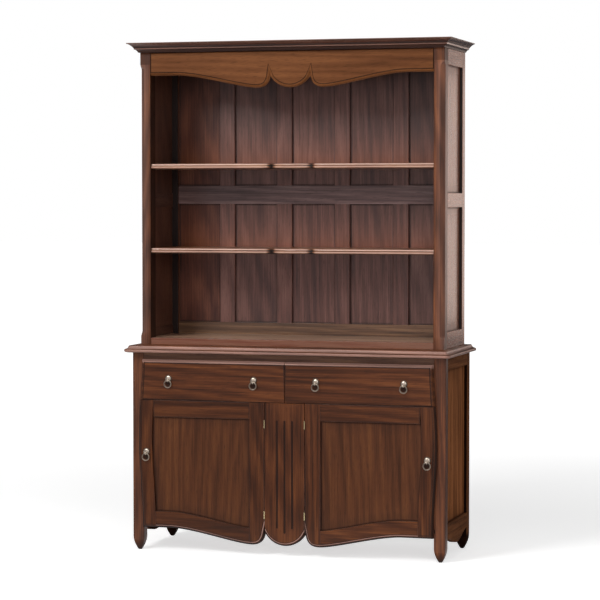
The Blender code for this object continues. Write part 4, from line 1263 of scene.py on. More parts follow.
@dataclass
class Pull:
    """A ring pull: a turned rose with an eye, and the ring that swings in it."""

    name: str
    body: str
    x: float
    z: float
    rose_radius: float = 15.0
    rose_height: float = 7.0
    eye_drop: float = 8.0
    eye_reach: float = 11.5
    eye_radius: float = 5.0
    eye_wire: Pair = (1.2, 2.3)
    ring_radius: float = 14.5
    ring_wire: Pair = (2.7, 2.7)
    neck: float = 3.6
    neck_waist: float = 1.2
    neck_foot: float = 1.0
    ground_lift: float = 2.0
    rose_line: tuple[Pair, ...] = (
        (0.98, 0.02), (1.00, 0.10), (1.00, 0.22), (0.97, 0.28), (0.90, 0.31), (0.86, 0.36),
        (0.85, 0.44), (0.80, 0.56), (0.72, 0.70), (0.60, 0.83), (0.44, 0.93), (0.26, 0.98),
        (0.08, 1.00))

    @classmethod
    def ground(cls, x: float, z: float) -> Place:
        """Return the middle of the wood behind the ring of a pull at a place on the front."""
        return (x, FACE, z - cls.eye_drop - cls.ring_radius + cls.ground_lift)

    def rose(self) -> Skin:
        """Turn the rose and its neck, and set the eye on them.

        The neck narrows in half a sine wave. Film gathers in the quirk at nine tenths of the
        rose's radius, and the middle of the dome is bright.

        Returns:
            The three in one skin.
        """
        line = smooth_curve(np.array(self.rose_line), 3) * [self.rose_radius, self.rose_height]
        out = line[:, 0] / self.rose_radius
        quirk = 0.75 * np.exp(-((out - 0.9) / 0.06) ** 2)
        film = quirk + np.interp(out, [0.35, 0.8], [-0.5, 0.35])
        dome = turned(line, (self.x, FACE - CLEAR, self.z), film)
        rise = np.linspace(0.0, 1.0, 9)
        tall = self.eye_reach - self.eye_radius - self.eye_wire[0]
        waist = np.stack((self.neck - self.neck_waist * np.sin(rise * math.pi),
                          self.neck_foot + rise * tall), axis=1)
        low = self.z - self.eye_drop
        neck = turned(waist, (self.x, FACE, low), np.full(len(rise), 0.3), 20)
        eye = (self.x, FACE - self.eye_reach, low)
        loop = hoop(eye, self.eye_radius, self.eye_wire, Axis.ACROSS, 0.4, (32, 14))
        return joined([skin.cut(Grain.UPRIGHT, "rose") for skin in (dome, neck, loop)])

    def build(self) -> None:
        """Make the rose and the ring."""
        make_piece("rose_" + self.name, self.rose(), NICKEL, "pull_rose_" + self.name,
                   self.body)
        middle = (self.x, FACE - self.eye_reach, self.z - self.eye_drop - self.ring_radius)
        ring = hoop(middle, self.ring_radius, self.ring_wire, Axis.FORWARDS, 0.5)
        make_piece("ring_" + self.name, ring.cut(Grain.UPRIGHT, "ring"), NICKEL,
                   "pull_ring_" + self.name, "ring_" + self.name)


@dataclass
class Drawer:
    """One drawer: its shaped front with two pulls, and the bare box behind it."""

    side: Side
    low: float = 645.9
    top: float = 814.7
    pull_height: float = 735.7
    pulls: tuple[tuple[float, str], ...] = ((135.0, "inner"), (511.0, "outer"))
    tone: float = 0.93

    def front(self) -> Skin:
        """Work the right-hand front, moulded along its top and its bowed outer edge.

        Returns:
            The closed front, with the painted highlight along its top only.
        """
        edge = swell_edge(self.low, self.top, 16)
        outline = np.vstack(((SPLIT, self.low), edge, (SPLIT, self.top)))
        worked = np.ones(len(outline), bool)
        worked[[0, -1]] = False
        section = ovolo_section(FACE_THICK, FRONT_MOULD, raised=True)
        made = worked_board(outline, section, FACE, Facing.FRONT, worked)
        # Below the top, the painted highlight gives way to a slight darkening
        rubbed = (made.stain < 0.0) & (made.points[:, 2] < self.top - FRONT_MOULD)
        made.stain = np.where(rubbed, OUTER_EDGE, made.stain)
        return made

    def build(self) -> None:
        """Make the drawer."""
        word = self.side.word
        body = "drawer_" + word
        front = self.front().handed(self.side)
        front = front.cut(Grain.LEVEL, "drawer front " + word, self.tone)
        spots = tuple(Pull.ground(x, self.pull_height) for x, _ in self.pulls)
        # The wood behind each ring is darkened: partly painted shadow of the ring, partly hand
        # grime
        finish = replace(POLISHED, name="mahogany_polished_drawer", handled=spots)
        make_piece("front_" + body, front, finish, "drawer_front_" + word, body)
        dress(LINING, Grain.DEEP, "drawer_box_" + word)
        dress(LINING, Grain.SHELF, "drawer_bottom_" + word)
        for x, spot in self.pulls:
            Pull(f"{body}_{spot}", body, self.side.value * x, self.pull_height).build()


@dataclass
class Door:
    """One door: stiles and rails round a sunk panel, hung on two brass butts."""

    side: Side
    inner: float = 88.4
    inner_stile: float = 66.0
    outer_stile: float = 62.0
    rail: float = 70.0
    recess: float = 11.3
    panel_thick: float = 7.0
    pull_height: float = 424.5
    pull_inset: float = 37.0
    hinge_heights: tuple[tuple[float, str], ...] = ((554.5, "upper"), (174.0, "lower"))
    frame_tones: Pair = (0.66, 0.86)
    panel_tones: Pair = (0.96, 1.0)

    def members(self) -> list[tuple[str, Grain, Skin]]:
        """Return the right-hand stiles and rails, each with its name and cut.

        The foot follows the wing of the bow; the stiles run from top to bottom and the rails lie
        between them.

        Returns:
            Name, cut and skin of each member.
        """
        foot = wing(self.inner, NOTCH, BOW_RISE) + [0.0, LOBE_LOW]
        flat = LOBE_LOW + BOW_RISE
        left = self.inner + self.inner_stile
        right = SWELL_FOOT - self.outer_stile
        under = np.stack((np.linspace(left, right, 49), np.zeros(49)), axis=1)
        under[:, 1] = np.interp(under[:, 0], foot[:, 0], foot[:, 1])
        heel = np.vstack((foot[foot[:, 0] < left], under[:1]))
        edge = swell_edge(flat, DOOR_TOP)
        section = ovolo_section(FACE_THICK, FRONT_MOULD)
        bowed = edge[::-1] - [self.outer_stile, 0.0]
        head = (swell(np.array(DOOR_TOP)) - self.outer_stile, DOOR_TOP)
        shapes = (
            ("stile_inner", Grain.UPRIGHT,
             [*heel, (left, DOOR_TOP), (self.inner, DOOR_TOP)], len(heel) - 1),
            ("stile_outer", Grain.UPRIGHT, [(right, flat), *edge, *bowed[:-1]], len(edge)),
            ("rail_foot", Grain.LEVEL,
             [*under, *(under[::-1] + [0.0, self.rail])], len(under) - 1),
            ("rail_head", Grain.LEVEL, oblong((left, DOOR_TOP - self.rail), head), 0),
        )
        made = []
        for name, grain, outline, count in shapes:
            corners = np.array(outline, float)
            worked = np.arange(len(corners)) < count
            member = worked_board(corners, section, FACE, Facing.FRONT, worked)
            # The outer stile's moulding takes a slight darkening instead of the painted highlight
            if name == "stile_outer":
                member.stain = np.where(member.stain < 0.0, OUTER_EDGE, member.stain)
            made.append((name, grain, member))
        return made

    def sunk_panel(self) -> Skin:
        """Cut the right-hand panel, as large as the opening and a tongue more all round.

        Returns:
            The closed panel.
        """
        foot = wing(self.inner, NOTCH, BOW_RISE) + [0.0, LOBE_LOW]
        left = self.inner + self.inner_stile
        low = LOBE_LOW + BOW_RISE + self.rail
        high = DOOR_TOP - self.rail
        side = swell_edge(low, high) - [self.outer_stile, 0.0]
        across = np.linspace(left, side[0, 0], 33)[:-1]
        sill = np.stack((across, np.interp(across, foot[:, 0], foot[:, 1]) + self.rail), axis=1)
        opening = np.vstack((sill, side, (left, high)))
        outline = inset(opening, np.full(len(opening), -TONGUE))
        return panel(outline, FACE + self.recess, self.panel_thick, Facing.FRONT)

    def build(self) -> None:
        """Make the door with its pull and hinges."""
        word = self.side.word
        body = "door_" + word
        reach = float(swell(np.array(self.pull_height))) - self.pull_inset
        spot = Pull.ground(reach, self.pull_height)
        # The wood behind the ring is darkened: partly painted shadow of the ring, partly hand grime
        darkened_behind_ring = replace(POLISHED, name="mahogany_polished_stile", handled=(spot,))
        for name, grain, skin in self.members():
            title = f"{body}_{name}"
            skin = skin.handed(self.side).cut(grain, title, self.side.pick(self.frame_tones))
            finish = darkened_behind_ring if name == "stile_outer" else POLISHED
            make_piece(title, skin, finish, "door_frame_" + word, body)
        board = self.sunk_panel().handed(self.side)
        board = board.cut(Grain.UPRIGHT, body + " panel", self.side.pick(self.panel_tones))
        make_piece(body + "_sunk_panel", board, PANEL_WOOD, "door_panel_" + word, body)
        Pull(body, body, self.side.value * reach, self.pull_height).build()
        for height, end in self.hinge_heights:
            Butt(self.side, end, height).build()


@dataclass
class Butt:
    """A brass butt hinge: two leaves and three knuckles on a pin."""

    side: Side
    spot: str
    height: float
    axis_x: float = LOBE_HALF
    axis_y: float = -234.3
    length: float = 31.0
    knuckle: float = 3.0
    leaf_thick: float = 1.2
    leaf_depth: float = 17.0
    apart: float = 0.6
    play: float = 0.2
    arris: float = 0.2
    bevel: float = 0.4
    # How dark the leaves are painted, for the shade beside the knuckles
    film: float = 0.9
    pin_tip: tuple[Pair, ...] = ((0.2, -1.2), (1.4, -1.0), (2.0, -0.5), (2.2, 0.0))

    def barrel(self, low: float, high: float, tip: bool = False) -> Skin:
        """Return one right-hand knuckle, or a pin with a button tip at both ends.

        The profile, a radius against height, is turned round the upright axis of the hinge.

        Args:
            low: Lower end.
            high: Upper end.
            tip: Whether this is the pin.

        Returns:
            The closed turning.
        """
        if tip:
            line = np.array(self.pin_tip)
            radius = np.hstack((line[:, 0], line[::-1, 0]))
            height = np.hstack((low + line[:, 1], high - line[::-1, 1]))
        else:
            inner = self.knuckle - self.bevel
            radius = np.array([inner, self.knuckle, self.knuckle, inner])
            height = np.array([low, low + self.bevel, high - self.bevel, high])
        angle = np.linspace(0.0, 2.0 * math.pi, 24, endpoint=False)
        ways = (self.axis_x + radius[:, None] * np.cos(angle),
                self.axis_y + radius[:, None] * np.sin(angle), height[:, None])
        rings = np.stack(np.broadcast_arrays(*ways), axis=-1)
        return stacked(rings, np.zeros(rings.shape[:2]))

    def leaf(self, on_door: bool) -> Skin:
        """Cut one right-hand plate, painted dark all over for the shade beside the knuckles.

        Args:
            on_door: Whether it lies on the door's edge, else on the pilaster's.

        Returns:
            The closed plate.
        """
        low = (self.axis_y + 1.0, self.height - self.length / 2)
        high = (self.axis_y + self.leaf_depth, self.height + self.length / 2)
        face = self.axis_x + self.apart / 2 + self.leaf_thick
        plate = plank(low, high, face, self.leaf_thick, Facing.RIGHT, self.arris)
        # Painted shade over the whole plate
        plate.stain[:] = self.film
        if not on_door:
            plate = plate.mirrored()
            plate.points = plate.points + [2.0 * self.axis_x, 0.0, 0.0]
        return plate

    def build(self) -> None:
        """Make both leaves; the outer knuckles and the pin stay on the pilaster."""
        third, half = self.length / 3, self.length / 2
        name = f"{self.spot}_{self.side.word}"
        foot, head = self.height - half, self.height + half
        fixed = (self.leaf(False), self.barrel(foot, foot + third - self.play),
                 self.barrel(head - third + self.play, head), self.barrel(foot, head, True))
        swinging = (self.leaf(True), self.barrel(foot + third, head - third))
        for kind, skins, body in (("fixed", fixed, "carcase"),
                                  ("door", swinging, "door_" + self.side.word)):
            skin = joined([part.handed(self.side).cut(Grain.UPRIGHT, "butt") for part in skins])
            title = f"{kind}_{name}"
            make_piece("butt_" + title, skin, BRASS, "hinge_leaf_" + title, body)


@dataclass
class RackSides:
    """Front posts with stopped chamfers, and the framed and panelled ends of the rack."""

    post_back: float = -94.0
    rear_front: float = 187.0
    chamfer: float = 18.0
    foot_stop: float = 36.0
    top_stop: float = 51.0
    stop: float = 22.0
    stop_start: float = 0.12
    rails: tuple[Pair, ...] = ((RACK_FOOT, 942.0), (1457.0, 1517.0), HEAD_RAIL)
    post_tones: Pair = (0.82, 1.16)
    # Painted highlight on the post's chamfer and outer face, painted shadow of the cornice on its
    # top block, painted shade on the panels' inner faces
    rub: float = -0.15
    shade: float = 0.4
    panel_back: float = 0.85

    def post(self) -> Skin:
        """Return the right-hand front post.

        The cut on its outer front corner grows from an eased arris to the full chamfer along half
        a cosine wave at each stop.

        Returns:
            The closed post.
        """
        low, high = RACK_FOOT + self.foot_stop, RACK_TOP - self.top_stop
        t = np.linspace(0.0, 1.0, 15)
        wave = self.stop_start + (1.0 - self.stop_start) * (1.0 - np.cos(math.pi * t)) / 2
        height = np.hstack((RACK_FOOT, low - 0.5, low + self.stop * t,
                            (high - self.stop * t)[::-1], high + 0.5, RACK_TOP - CLEAR))
        share = np.hstack((0.0, 0.0, wave, wave[::-1], 0.0, 0.0))
        cut = ARRIS + (self.chamfer - ARRIS) * share
        left, right, front, back = (np.full_like(cut, place) for place in (
            RACK_IN, RACK_OUT, RACK_FRONT, self.post_back))
        x = np.stack((left, left + ARRIS, right - cut, right,
                      right, right - ARRIS, left + ARRIS, left), axis=1)
        y = np.stack((front + ARRIS, front, front, front + cut,
                      back - ARRIS, back, back, back - ARRIS), axis=1)
        z = np.broadcast_to(height[:, None], x.shape)
        # Painted highlight on the chamfer and outer face, painted shadow of the cornice on the top
        # block, painted shade on the inner face
        stain = np.where(x > RACK_OUT - self.chamfer - 1.0, self.rub, 0.0)
        stain = np.where(z > high, self.shade, stain)
        stain = np.where(x <= RACK_IN, TURNED_AWAY, stain)
        return stacked(np.stack((x, y, z), axis=-1), stain)

    def frame(self, side: Side) -> Skin:
        """Join the rear post and the three rails of one end, with painted shade where they face
        inwards.

        Args:
            side: The end.

        Returns:
            Its frame.
        """
        rear = plank((self.rear_front, RACK_FOOT), (RACK_BACK, RACK_TOP - CLEAR), RACK_OUT,
                     RACK_OUT - RACK_IN, Facing.RIGHT)
        across, deep, _ = rear.points.T
        hidden = (across < RACK_OUT - ARRIS) & (deep < RACK_BACK - 2.0 * ARRIS)
        rear.stain = np.where(hidden, FULL_DARK, rear.stain)
        boards = [rear.handed(side).cut(Grain.UPRIGHT, "rear post " + side.word)]
        for number, (low, high) in enumerate(self.rails):
            rail = plank((self.post_back + CLEAR, low), (self.rear_front, high), RACK_OUT,
                         RAIL_THICK, Facing.RIGHT)
            inner = rail.points[:, 0] < RACK_OUT - RAIL_THICK / 2
            rail.stain = np.where(inner, TURNED_AWAY, rail.stain)
            boards.append(rail.handed(side).cut(Grain.DEEP, f"rack rail {number} {side.word}"))
        return joined(boards)

    def build(self) -> None:
        """Make both ends."""
        gaps = [(below[1], above[0]) for below, above in zip(self.rails, self.rails[1:])]
        for side in Side:
            word = side.word
            post = self.post().handed(side)
            post = post.cut(Grain.UPRIGHT, "rack post " + word, side.pick(self.post_tones))
            make_piece("rack_post_" + word, post, POLISHED, "rack_front_post_" + word)
            make_piece("rack_end_frame_" + word, self.frame(side), END_WOOD,
                       "rack_side_frame_" + word)
            for (low, high), level in zip(gaps, ("lower", "upper")):
                outline = oblong((self.post_back - TONGUE, low - TONGUE),
                                 (self.rear_front + TONGUE, high + TONGUE))
                board = panel(outline, RACK_OUT - PANEL_RECESS, PANEL_THICK, Facing.RIGHT)
                # Painted shade on the panel's inner face
                board.stain[:len(outline)] = self.panel_back
                name = f"{level}_{word}"
                board = board.handed(side).cut(Grain.UPRIGHT, "rack panel " + name)
                make_piece("rack_end_panel_" + name, board, END_WOOD, "rack_side_panel_" + name)


@dataclass
class Shelves:
    """The two bow-fronted shelves and the floor board of the rack."""

    lobes: float = -150.0
    notch: float = 25.0
    # Painted shadow in the notches of the nose: its width, then its strength
    grime: float = 13.0
    grime_depth: float = 1.9
    swing: float = 4.0
    tip: float = 624.0
    wide: float = 636.7
    tongue: Pair = (-93.7, 186.7)
    back: float = 199.4
    thick: float = 22.0
    mould: float = 7.0
    tone: float = 1.15
    tops: tuple[tuple[float, str], ...] = tuple(zip(SHELF_TOPS, ("lower", "upper")))
    floor_front: float = -154.0
    floor_thick: float = 28.7
    # The front face takes the overlay colour; the high tone is part of the painted sheen
    floor_rub: float = -0.85
    floor_tone: float = 1.8

    def shoulders(self, end: float) -> Array:
        """Return the right end of a board, its tongue standing out between the posts.

        Args:
            end: Where the board's own end lies.

        Returns:
            Points x 2, from the front backwards.
        """
        start, stop = self.tongue
        return np.array([(end, start), (self.wide, start), (self.wide, stop), (end, stop),
                         (end, self.back)])

    def shelf(self, top: float) -> Skin:
        """Return a shelf, its nose moulded above and below along a cupid's bow in plan.

        Painted shadow lies in its notches, as exp(-(d / w)^2) at distance d along the nose, w being
        its width.

        Args:
            top: Height of its upper face.

        Returns:
            The closed shelf.
        """
        front = bow(LOBE_HALF, self.notch, self.swing, self.tip) + [0.0, self.lobes]
        right = self.shoulders(self.tip)
        outline = np.vstack((front, right, right[::-1] * [-1.0, 1.0]))
        worked = np.arange(len(outline)) < len(front) - 1
        section = nosed_section(self.thick, self.mould)
        made = worked_board(outline, section, top, Facing.UP, worked)
        apart = np.abs(made.points[:, 0]) - LOBE_HALF
        nose = made.points[:, 1] < self.lobes + self.notch + self.mould
        darkened = self.grime_depth * nose * np.exp(-(apart / self.grime) ** 2)
        made.stain = made.stain + darkened
        return made

    def floor(self) -> Skin:
        """Cut the floor board, notched round the four posts.

        Returns:
            The closed board, its front face mostly in the overlay colour instead of the painted
            sheen of its top.
        """
        right = np.array([(RACK_INSIDE, self.floor_front), *self.shoulders(RACK_INSIDE)])
        outline = np.vstack((right, right[::-1] * [-1.0, 1.0]))
        made = worked_board(outline, eased_section(self.floor_thick), FLOOR_TOP, Facing.UP)
        # The front face takes the overlay colour in place of the painted sheen
        made.stain = np.where(made.points[:, 1] < self.lobes, self.floor_rub, made.stain)
        return made

    def build(self) -> None:
        """Make the shelves and the floor."""
        for top, name in self.tops:
            skin = self.shelf(top).cut(Grain.SHELF, name + " shelf", self.tone)
            make_piece("shelf_" + name, skin, SHELF_WOOD, name + "_shelf")
        skin = self.floor().cut(Grain.SHELF, "rack floor", self.floor_tone)
        make_piece("floor_of_rack", skin, FLOOR_WOOD, "rack_floor")


@dataclass
class RackBack:
    """The framed back of the rack: rails, muntins and the upright boards behind them."""

    face: float = 199.7
    thick: float = 14.0
    board_face: float = 214.0
    board_thick: float = 5.0
    columns: int = 5
    muntin: float = 67.0
    foot_top: float = 954.0
    mid: Pair = (1470.0, 1550.0)
    levels: tuple[float, ...] = (FLOOR_TOP, *SHELF_TOPS)
    # Painted light above the floor and each shelf, warm near it, and a painted shadow under the
    # head rail
    gains: tuple[float, ...] = (0.0, 0.8, 1.1)
    lifts: tuple[float, ...] = (0.42, 0.0, 0.0)
    fades: tuple[float, ...] = (150.0, 66.0, 58.0)
    warmth: tuple[float, ...] = (0.0, 0.36, 0.46)
    head_dark: float = 0.7
    head_fade: float = 60.0
    # Painted shade towards the left end of each rail, and painted light towards the bottom of the
    # foot and middle rails
    rail_ends: Pair = (0.76, 1.12)
    foot_tones: Pair = (1.45, 1.25)
    mid_tones: Pair = (1.8, 1.15)
    muntin_tone: float = 1.08
    joint: float = 0.4
    lap: float = 9.0

    @property
    def sight(self) -> float:
        """Return how much of a board's width shows between the muntins."""
        return (2.0 * RACK_IN - (self.columns - 1) * self.muntin) / self.columns

    @property
    def pitch(self) -> float:
        """Return the step from one board to the next."""
        return self.sight + self.muntin

    def aged(self, height: Array) -> tuple[Array, Array]:
        """Return the painted light and shade on the back at a height: how much paler it is painted,
        and how much warm light is mixed in.

        At distance d above its shelf, with e = exp(-d / fade), the tone is 1 + gain e + lift (1 -
        e) and the warm painted light is warmth e; at distance h below the head rail a painted
        shadow takes head_dark exp(-h / head_fade) off the tone.

        Args:
            height: Heights.

        Returns:
            Tones, and stain to add for the warm painted light.
        """
        levels = np.array(self.levels)
        row = np.searchsorted(levels - Shelves.thick / 2, height, side="right") - 1
        row = np.clip(row, 0, None)
        near = np.exp(-np.maximum(height - levels[row], 0.0) / np.array(self.fades)[row])
        under = np.exp(-np.maximum(HEAD_RAIL[0] - height, 0.0) / self.head_fade)
        lift = near * np.array(self.gains)[row] + (1.0 - near) * np.array(self.lifts)[row]
        return 1.0 + lift - self.head_dark * under, -near * np.array(self.warmth)[row]

    def stations(self, low: float, high: float) -> Array:
        """Return heights between two ends, closer together above the shelves.

        Args:
            low: First height.
            high: Last height.

        Returns:
            Heights, rising.
        """
        under = -Shelves.thick / 2
        steps = np.array([under - 1.0, under, 0.0, 25.0, 60.0, 110.0, 180.0, 260.0])
        above = (np.array(self.levels)[:, None] + steps).ravel()
        every = np.hstack((above, HEAD_RAIL[0] - steps[2:]))
        between = every[(every > low) & (every < high)]
        return np.unique(np.hstack((low, between, high)))

    def upright(self, left: float, low: float, high: float) -> Skin:
        """Carry a muntin's section, with two eased arrises, up the stations.

        Args:
            left: Left edge.
            low: Lower end.
            high: Upper end.

        Returns:
            The closed muntin.
        """
        right, front, rear = left + self.muntin, self.face, self.face + self.thick
        section = np.array([(left + ARRIS, front), (right - ARRIS, front), (right, front + ARRIS),
                            (right, rear), (left, rear), (left, front + ARRIS)])
        height = self.stations(low, high)[:, None, None]
        shape = (len(height), len(section))
        rings = np.concatenate((np.broadcast_to(section, (*shape, 2)),
                                np.broadcast_to(height, (*shape, 1))), axis=-1)
        return stacked(rings, np.zeros(shape))

    def rails(self) -> None:
        """Make the three rails, each of a colour of its own, painted paler towards the bottom and
        the right: painted light below, painted shade at the left.
        """
        for name, (low, high), finish, tones in (
                ("foot", (RACK_FOOT, self.foot_top), LIT_RAIL_WOOD, self.foot_tones),
                ("mid", self.mid, SHEEN_RAIL_WOOD, self.mid_tones),
                ("head", HEAD_RAIL, BACK_WOOD, (1.0, 1.0))):
            ends = (-RACK_INSIDE, RACK_INSIDE)
            rail = plank((ends[0], low), (ends[1], high), self.face, self.thick, Facing.FRONT)
            rail = rail.cut(Grain.LEVEL, "back rail " + name)
            across, _, height = rail.points.T
            # Painted light towards the bottom and painted shade towards the left
            rail.tone = rail.tone * np.interp(height, (low, high), tones)
            rail.tone = rail.tone * np.interp(across, ends, self.rail_ends)
            make_piece("back_rail_" + name, rail, finish, "rack_back_frame")

    def muntins(self) -> None:
        """Make the muntins, below and above the middle rail."""
        members = []
        spans = ((self.foot_top, self.mid[0]), (self.mid[1], HEAD_RAIL[0]))
        for column in range(1, self.columns):
            left = -RACK_IN + column * self.pitch - self.muntin
            for row, (low, high) in enumerate(spans):
                bar = self.upright(left, low, high)
                bar = bar.cut(Grain.UPRIGHT, f"muntin {column} {row}", self.muntin_tone)
                # Painted light above the shelves and painted shadow under the head
                tone, stain_part = self.aged(bar.points[:, 2])
                bar.tone, bar.stain = bar.tone * tone, bar.stain + stain_part
                members.append(bar)
        make_piece("back_muntins", joined(members), BACK_WOOD, "rack_back_frame")

    def boards(self) -> None:
        """Make the upright boards; the left one is painted darker for the shade of the left end."""
        made = []
        reach = self.pitch / 2
        for column in range(self.columns):
            middle = -RACK_IN + self.sight / 2 + column * self.pitch
            left = max(middle - reach + self.joint, -RACK_INSIDE)
            right = min(middle + reach - self.joint, RACK_INSIDE)
            board = self.back_board(left, right, middle - self.sight / 2, middle + self.sight / 2)
            board = board.cut(Grain.UPRIGHT, f"back board {column}")
            # Painted light above the shelves and painted shadow under the head, on the front face
            # only
            tone, stain_part = self.aged(board.points[:, 2])
            behind = board.points[:, 1] > self.board_face
            board.tone = board.tone * np.where(behind, 1.0, tone)
            board.stain = board.stain + np.where(behind | (board.stain > 0.0), 0.0, stain_part)
            made.append(board)
        for name, group, finish in (("back_board_left", made[:1], SHADED_BACK_WOOD),
                                    ("back_boards", made[1:], BACK_WOOD)):
            make_piece(name, joined(group), finish, "rack_back_panel")

    def build(self) -> None:
        """Make the frame and the boards."""
        self.rails()
        self.muntins()
        self.boards()

    def back_board(self, left: float, right: float, sight_left: float, sight_right: float) -> Skin:
        """Return one upright board, with painted shade along the lines where muntins and rails lap
        over it.

        Both faces are grids over the same stations; the painted shade falls off from the nearest
        sight line over the width named lap.

        Args:
            left: Left edge.
            right: Right edge.
            sight_left: Where its left muntin ends.
            sight_right: Where its right muntin begins.

        Returns:
            The closed board.
        """
        steps = np.array([0.0, self.lap / 3, self.lap])
        x = np.hstack((left, sight_left + steps, sight_right - steps[::-1], right))
        x = np.maximum.accumulate(np.clip(x, left, right))
        foot, (mid_low, mid_high), (head, top) = self.foot_top, self.mid, HEAD_RAIL
        z = np.unique(np.hstack((self.stations(RACK_FOOT, top), foot + steps, mid_low - steps,
                                 mid_high + steps, head - steps)))
        near_x = np.abs(x[:, None] - np.array([sight_left, sight_right])).min(axis=1)
        near_z = np.abs(z[:, None] - np.array([foot, mid_low, mid_high, head])).min(axis=1)
        apart = np.minimum(near_x[None, :], near_z[:, None])
        # Painted shade along the sight lines
        stain = TURNED_AWAY * np.clip(1.0 - apart / self.lap, 0.0, 1.0)
        flat_x, flat_z = np.meshgrid(x, z)
        front = np.stack((flat_x, np.full_like(flat_x, self.board_face), flat_z), axis=-1)
        rear = front + [0.0, self.board_thick, 0.0]
        rows, columns = flat_x.shape
        faces = lattice(rows, columns, False)
        rim = np.hstack((np.arange(columns), np.arange(1, rows) * columns + columns - 1,
                         (rows - 1) * columns + np.arange(columns - 2, -1, -1),
                         np.arange(rows - 2, 0, -1) * columns))
        after = np.roll(rim, -1)
        count = rows * columns
        wall = np.stack((rim, rim + count, after + count, after), axis=1)
        quads = np.vstack((faces, faces[:, ::-1] + count, wall))
        points = np.vstack((front.reshape(-1, 3), rear.reshape(-1, 3)))
        return Skin(points, quads, [], np.hstack((stain.ravel(), np.zeros(count))))


@dataclass
class Frieze:
    """The frieze board, with a cupid's bow moulded along its lower edge."""

    low: float = 1958.0
    thick: float = 22.0
    mould: float = 10.5
    spike: float = 26.0
    spike_half: float = 9.0
    tone: float = 0.8

    def skin(self) -> Skin:
        """Work the moulding and draw it up into a spike above each notch.

        A point whose section stands at share s of the moulding's width rises by
        spike s exp(-(d / spike_half)^2), d being its level distance from the notch.

        Returns:
            The closed board.
        """
        edge = bow(LOBE_HALF, NOTCH, BOW_RISE, RACK_INSIDE) + [0.0, self.low]
        top = HEAD_RAIL[1]
        outline = np.vstack((edge, (RACK_INSIDE, top), (-RACK_INSIDE, top)))
        worked = np.arange(len(outline)) < len(edge) - 1
        section = ovolo_section(self.thick, self.mould, raised=True)
        made = worked_board(outline, section, RACK_FRONT, Facing.FRONT, worked)
        in_front = section.depth < self.thick - ARRIS
        share = np.clip(section.worked / self.mould, 0.0, 1.0) * in_front
        apart = np.abs(made.points[:, 0]) - LOBE_HALF
        low = made.points[:, 2] < top - self.mould
        bump = np.exp(-(apart / self.spike_half) ** 2)
        made.points[:, 2] += self.spike * np.repeat(share, len(outline)) * low * bump
        count = len(made.stain)
        on_face = np.arange(count) >= count - len(outline)
        # A dark band along the top edge: a painted shadow of the cornice
        made.stain = np.where(low | on_face, made.stain, 1.0)
        return made

    def build(self) -> None:
        """Make the frieze."""
        skin = self.skin().cut(Grain.LEVEL, "frieze", self.tone)
        make_piece("frieze_board", skin, FRIEZE_WOOD, "frieze")


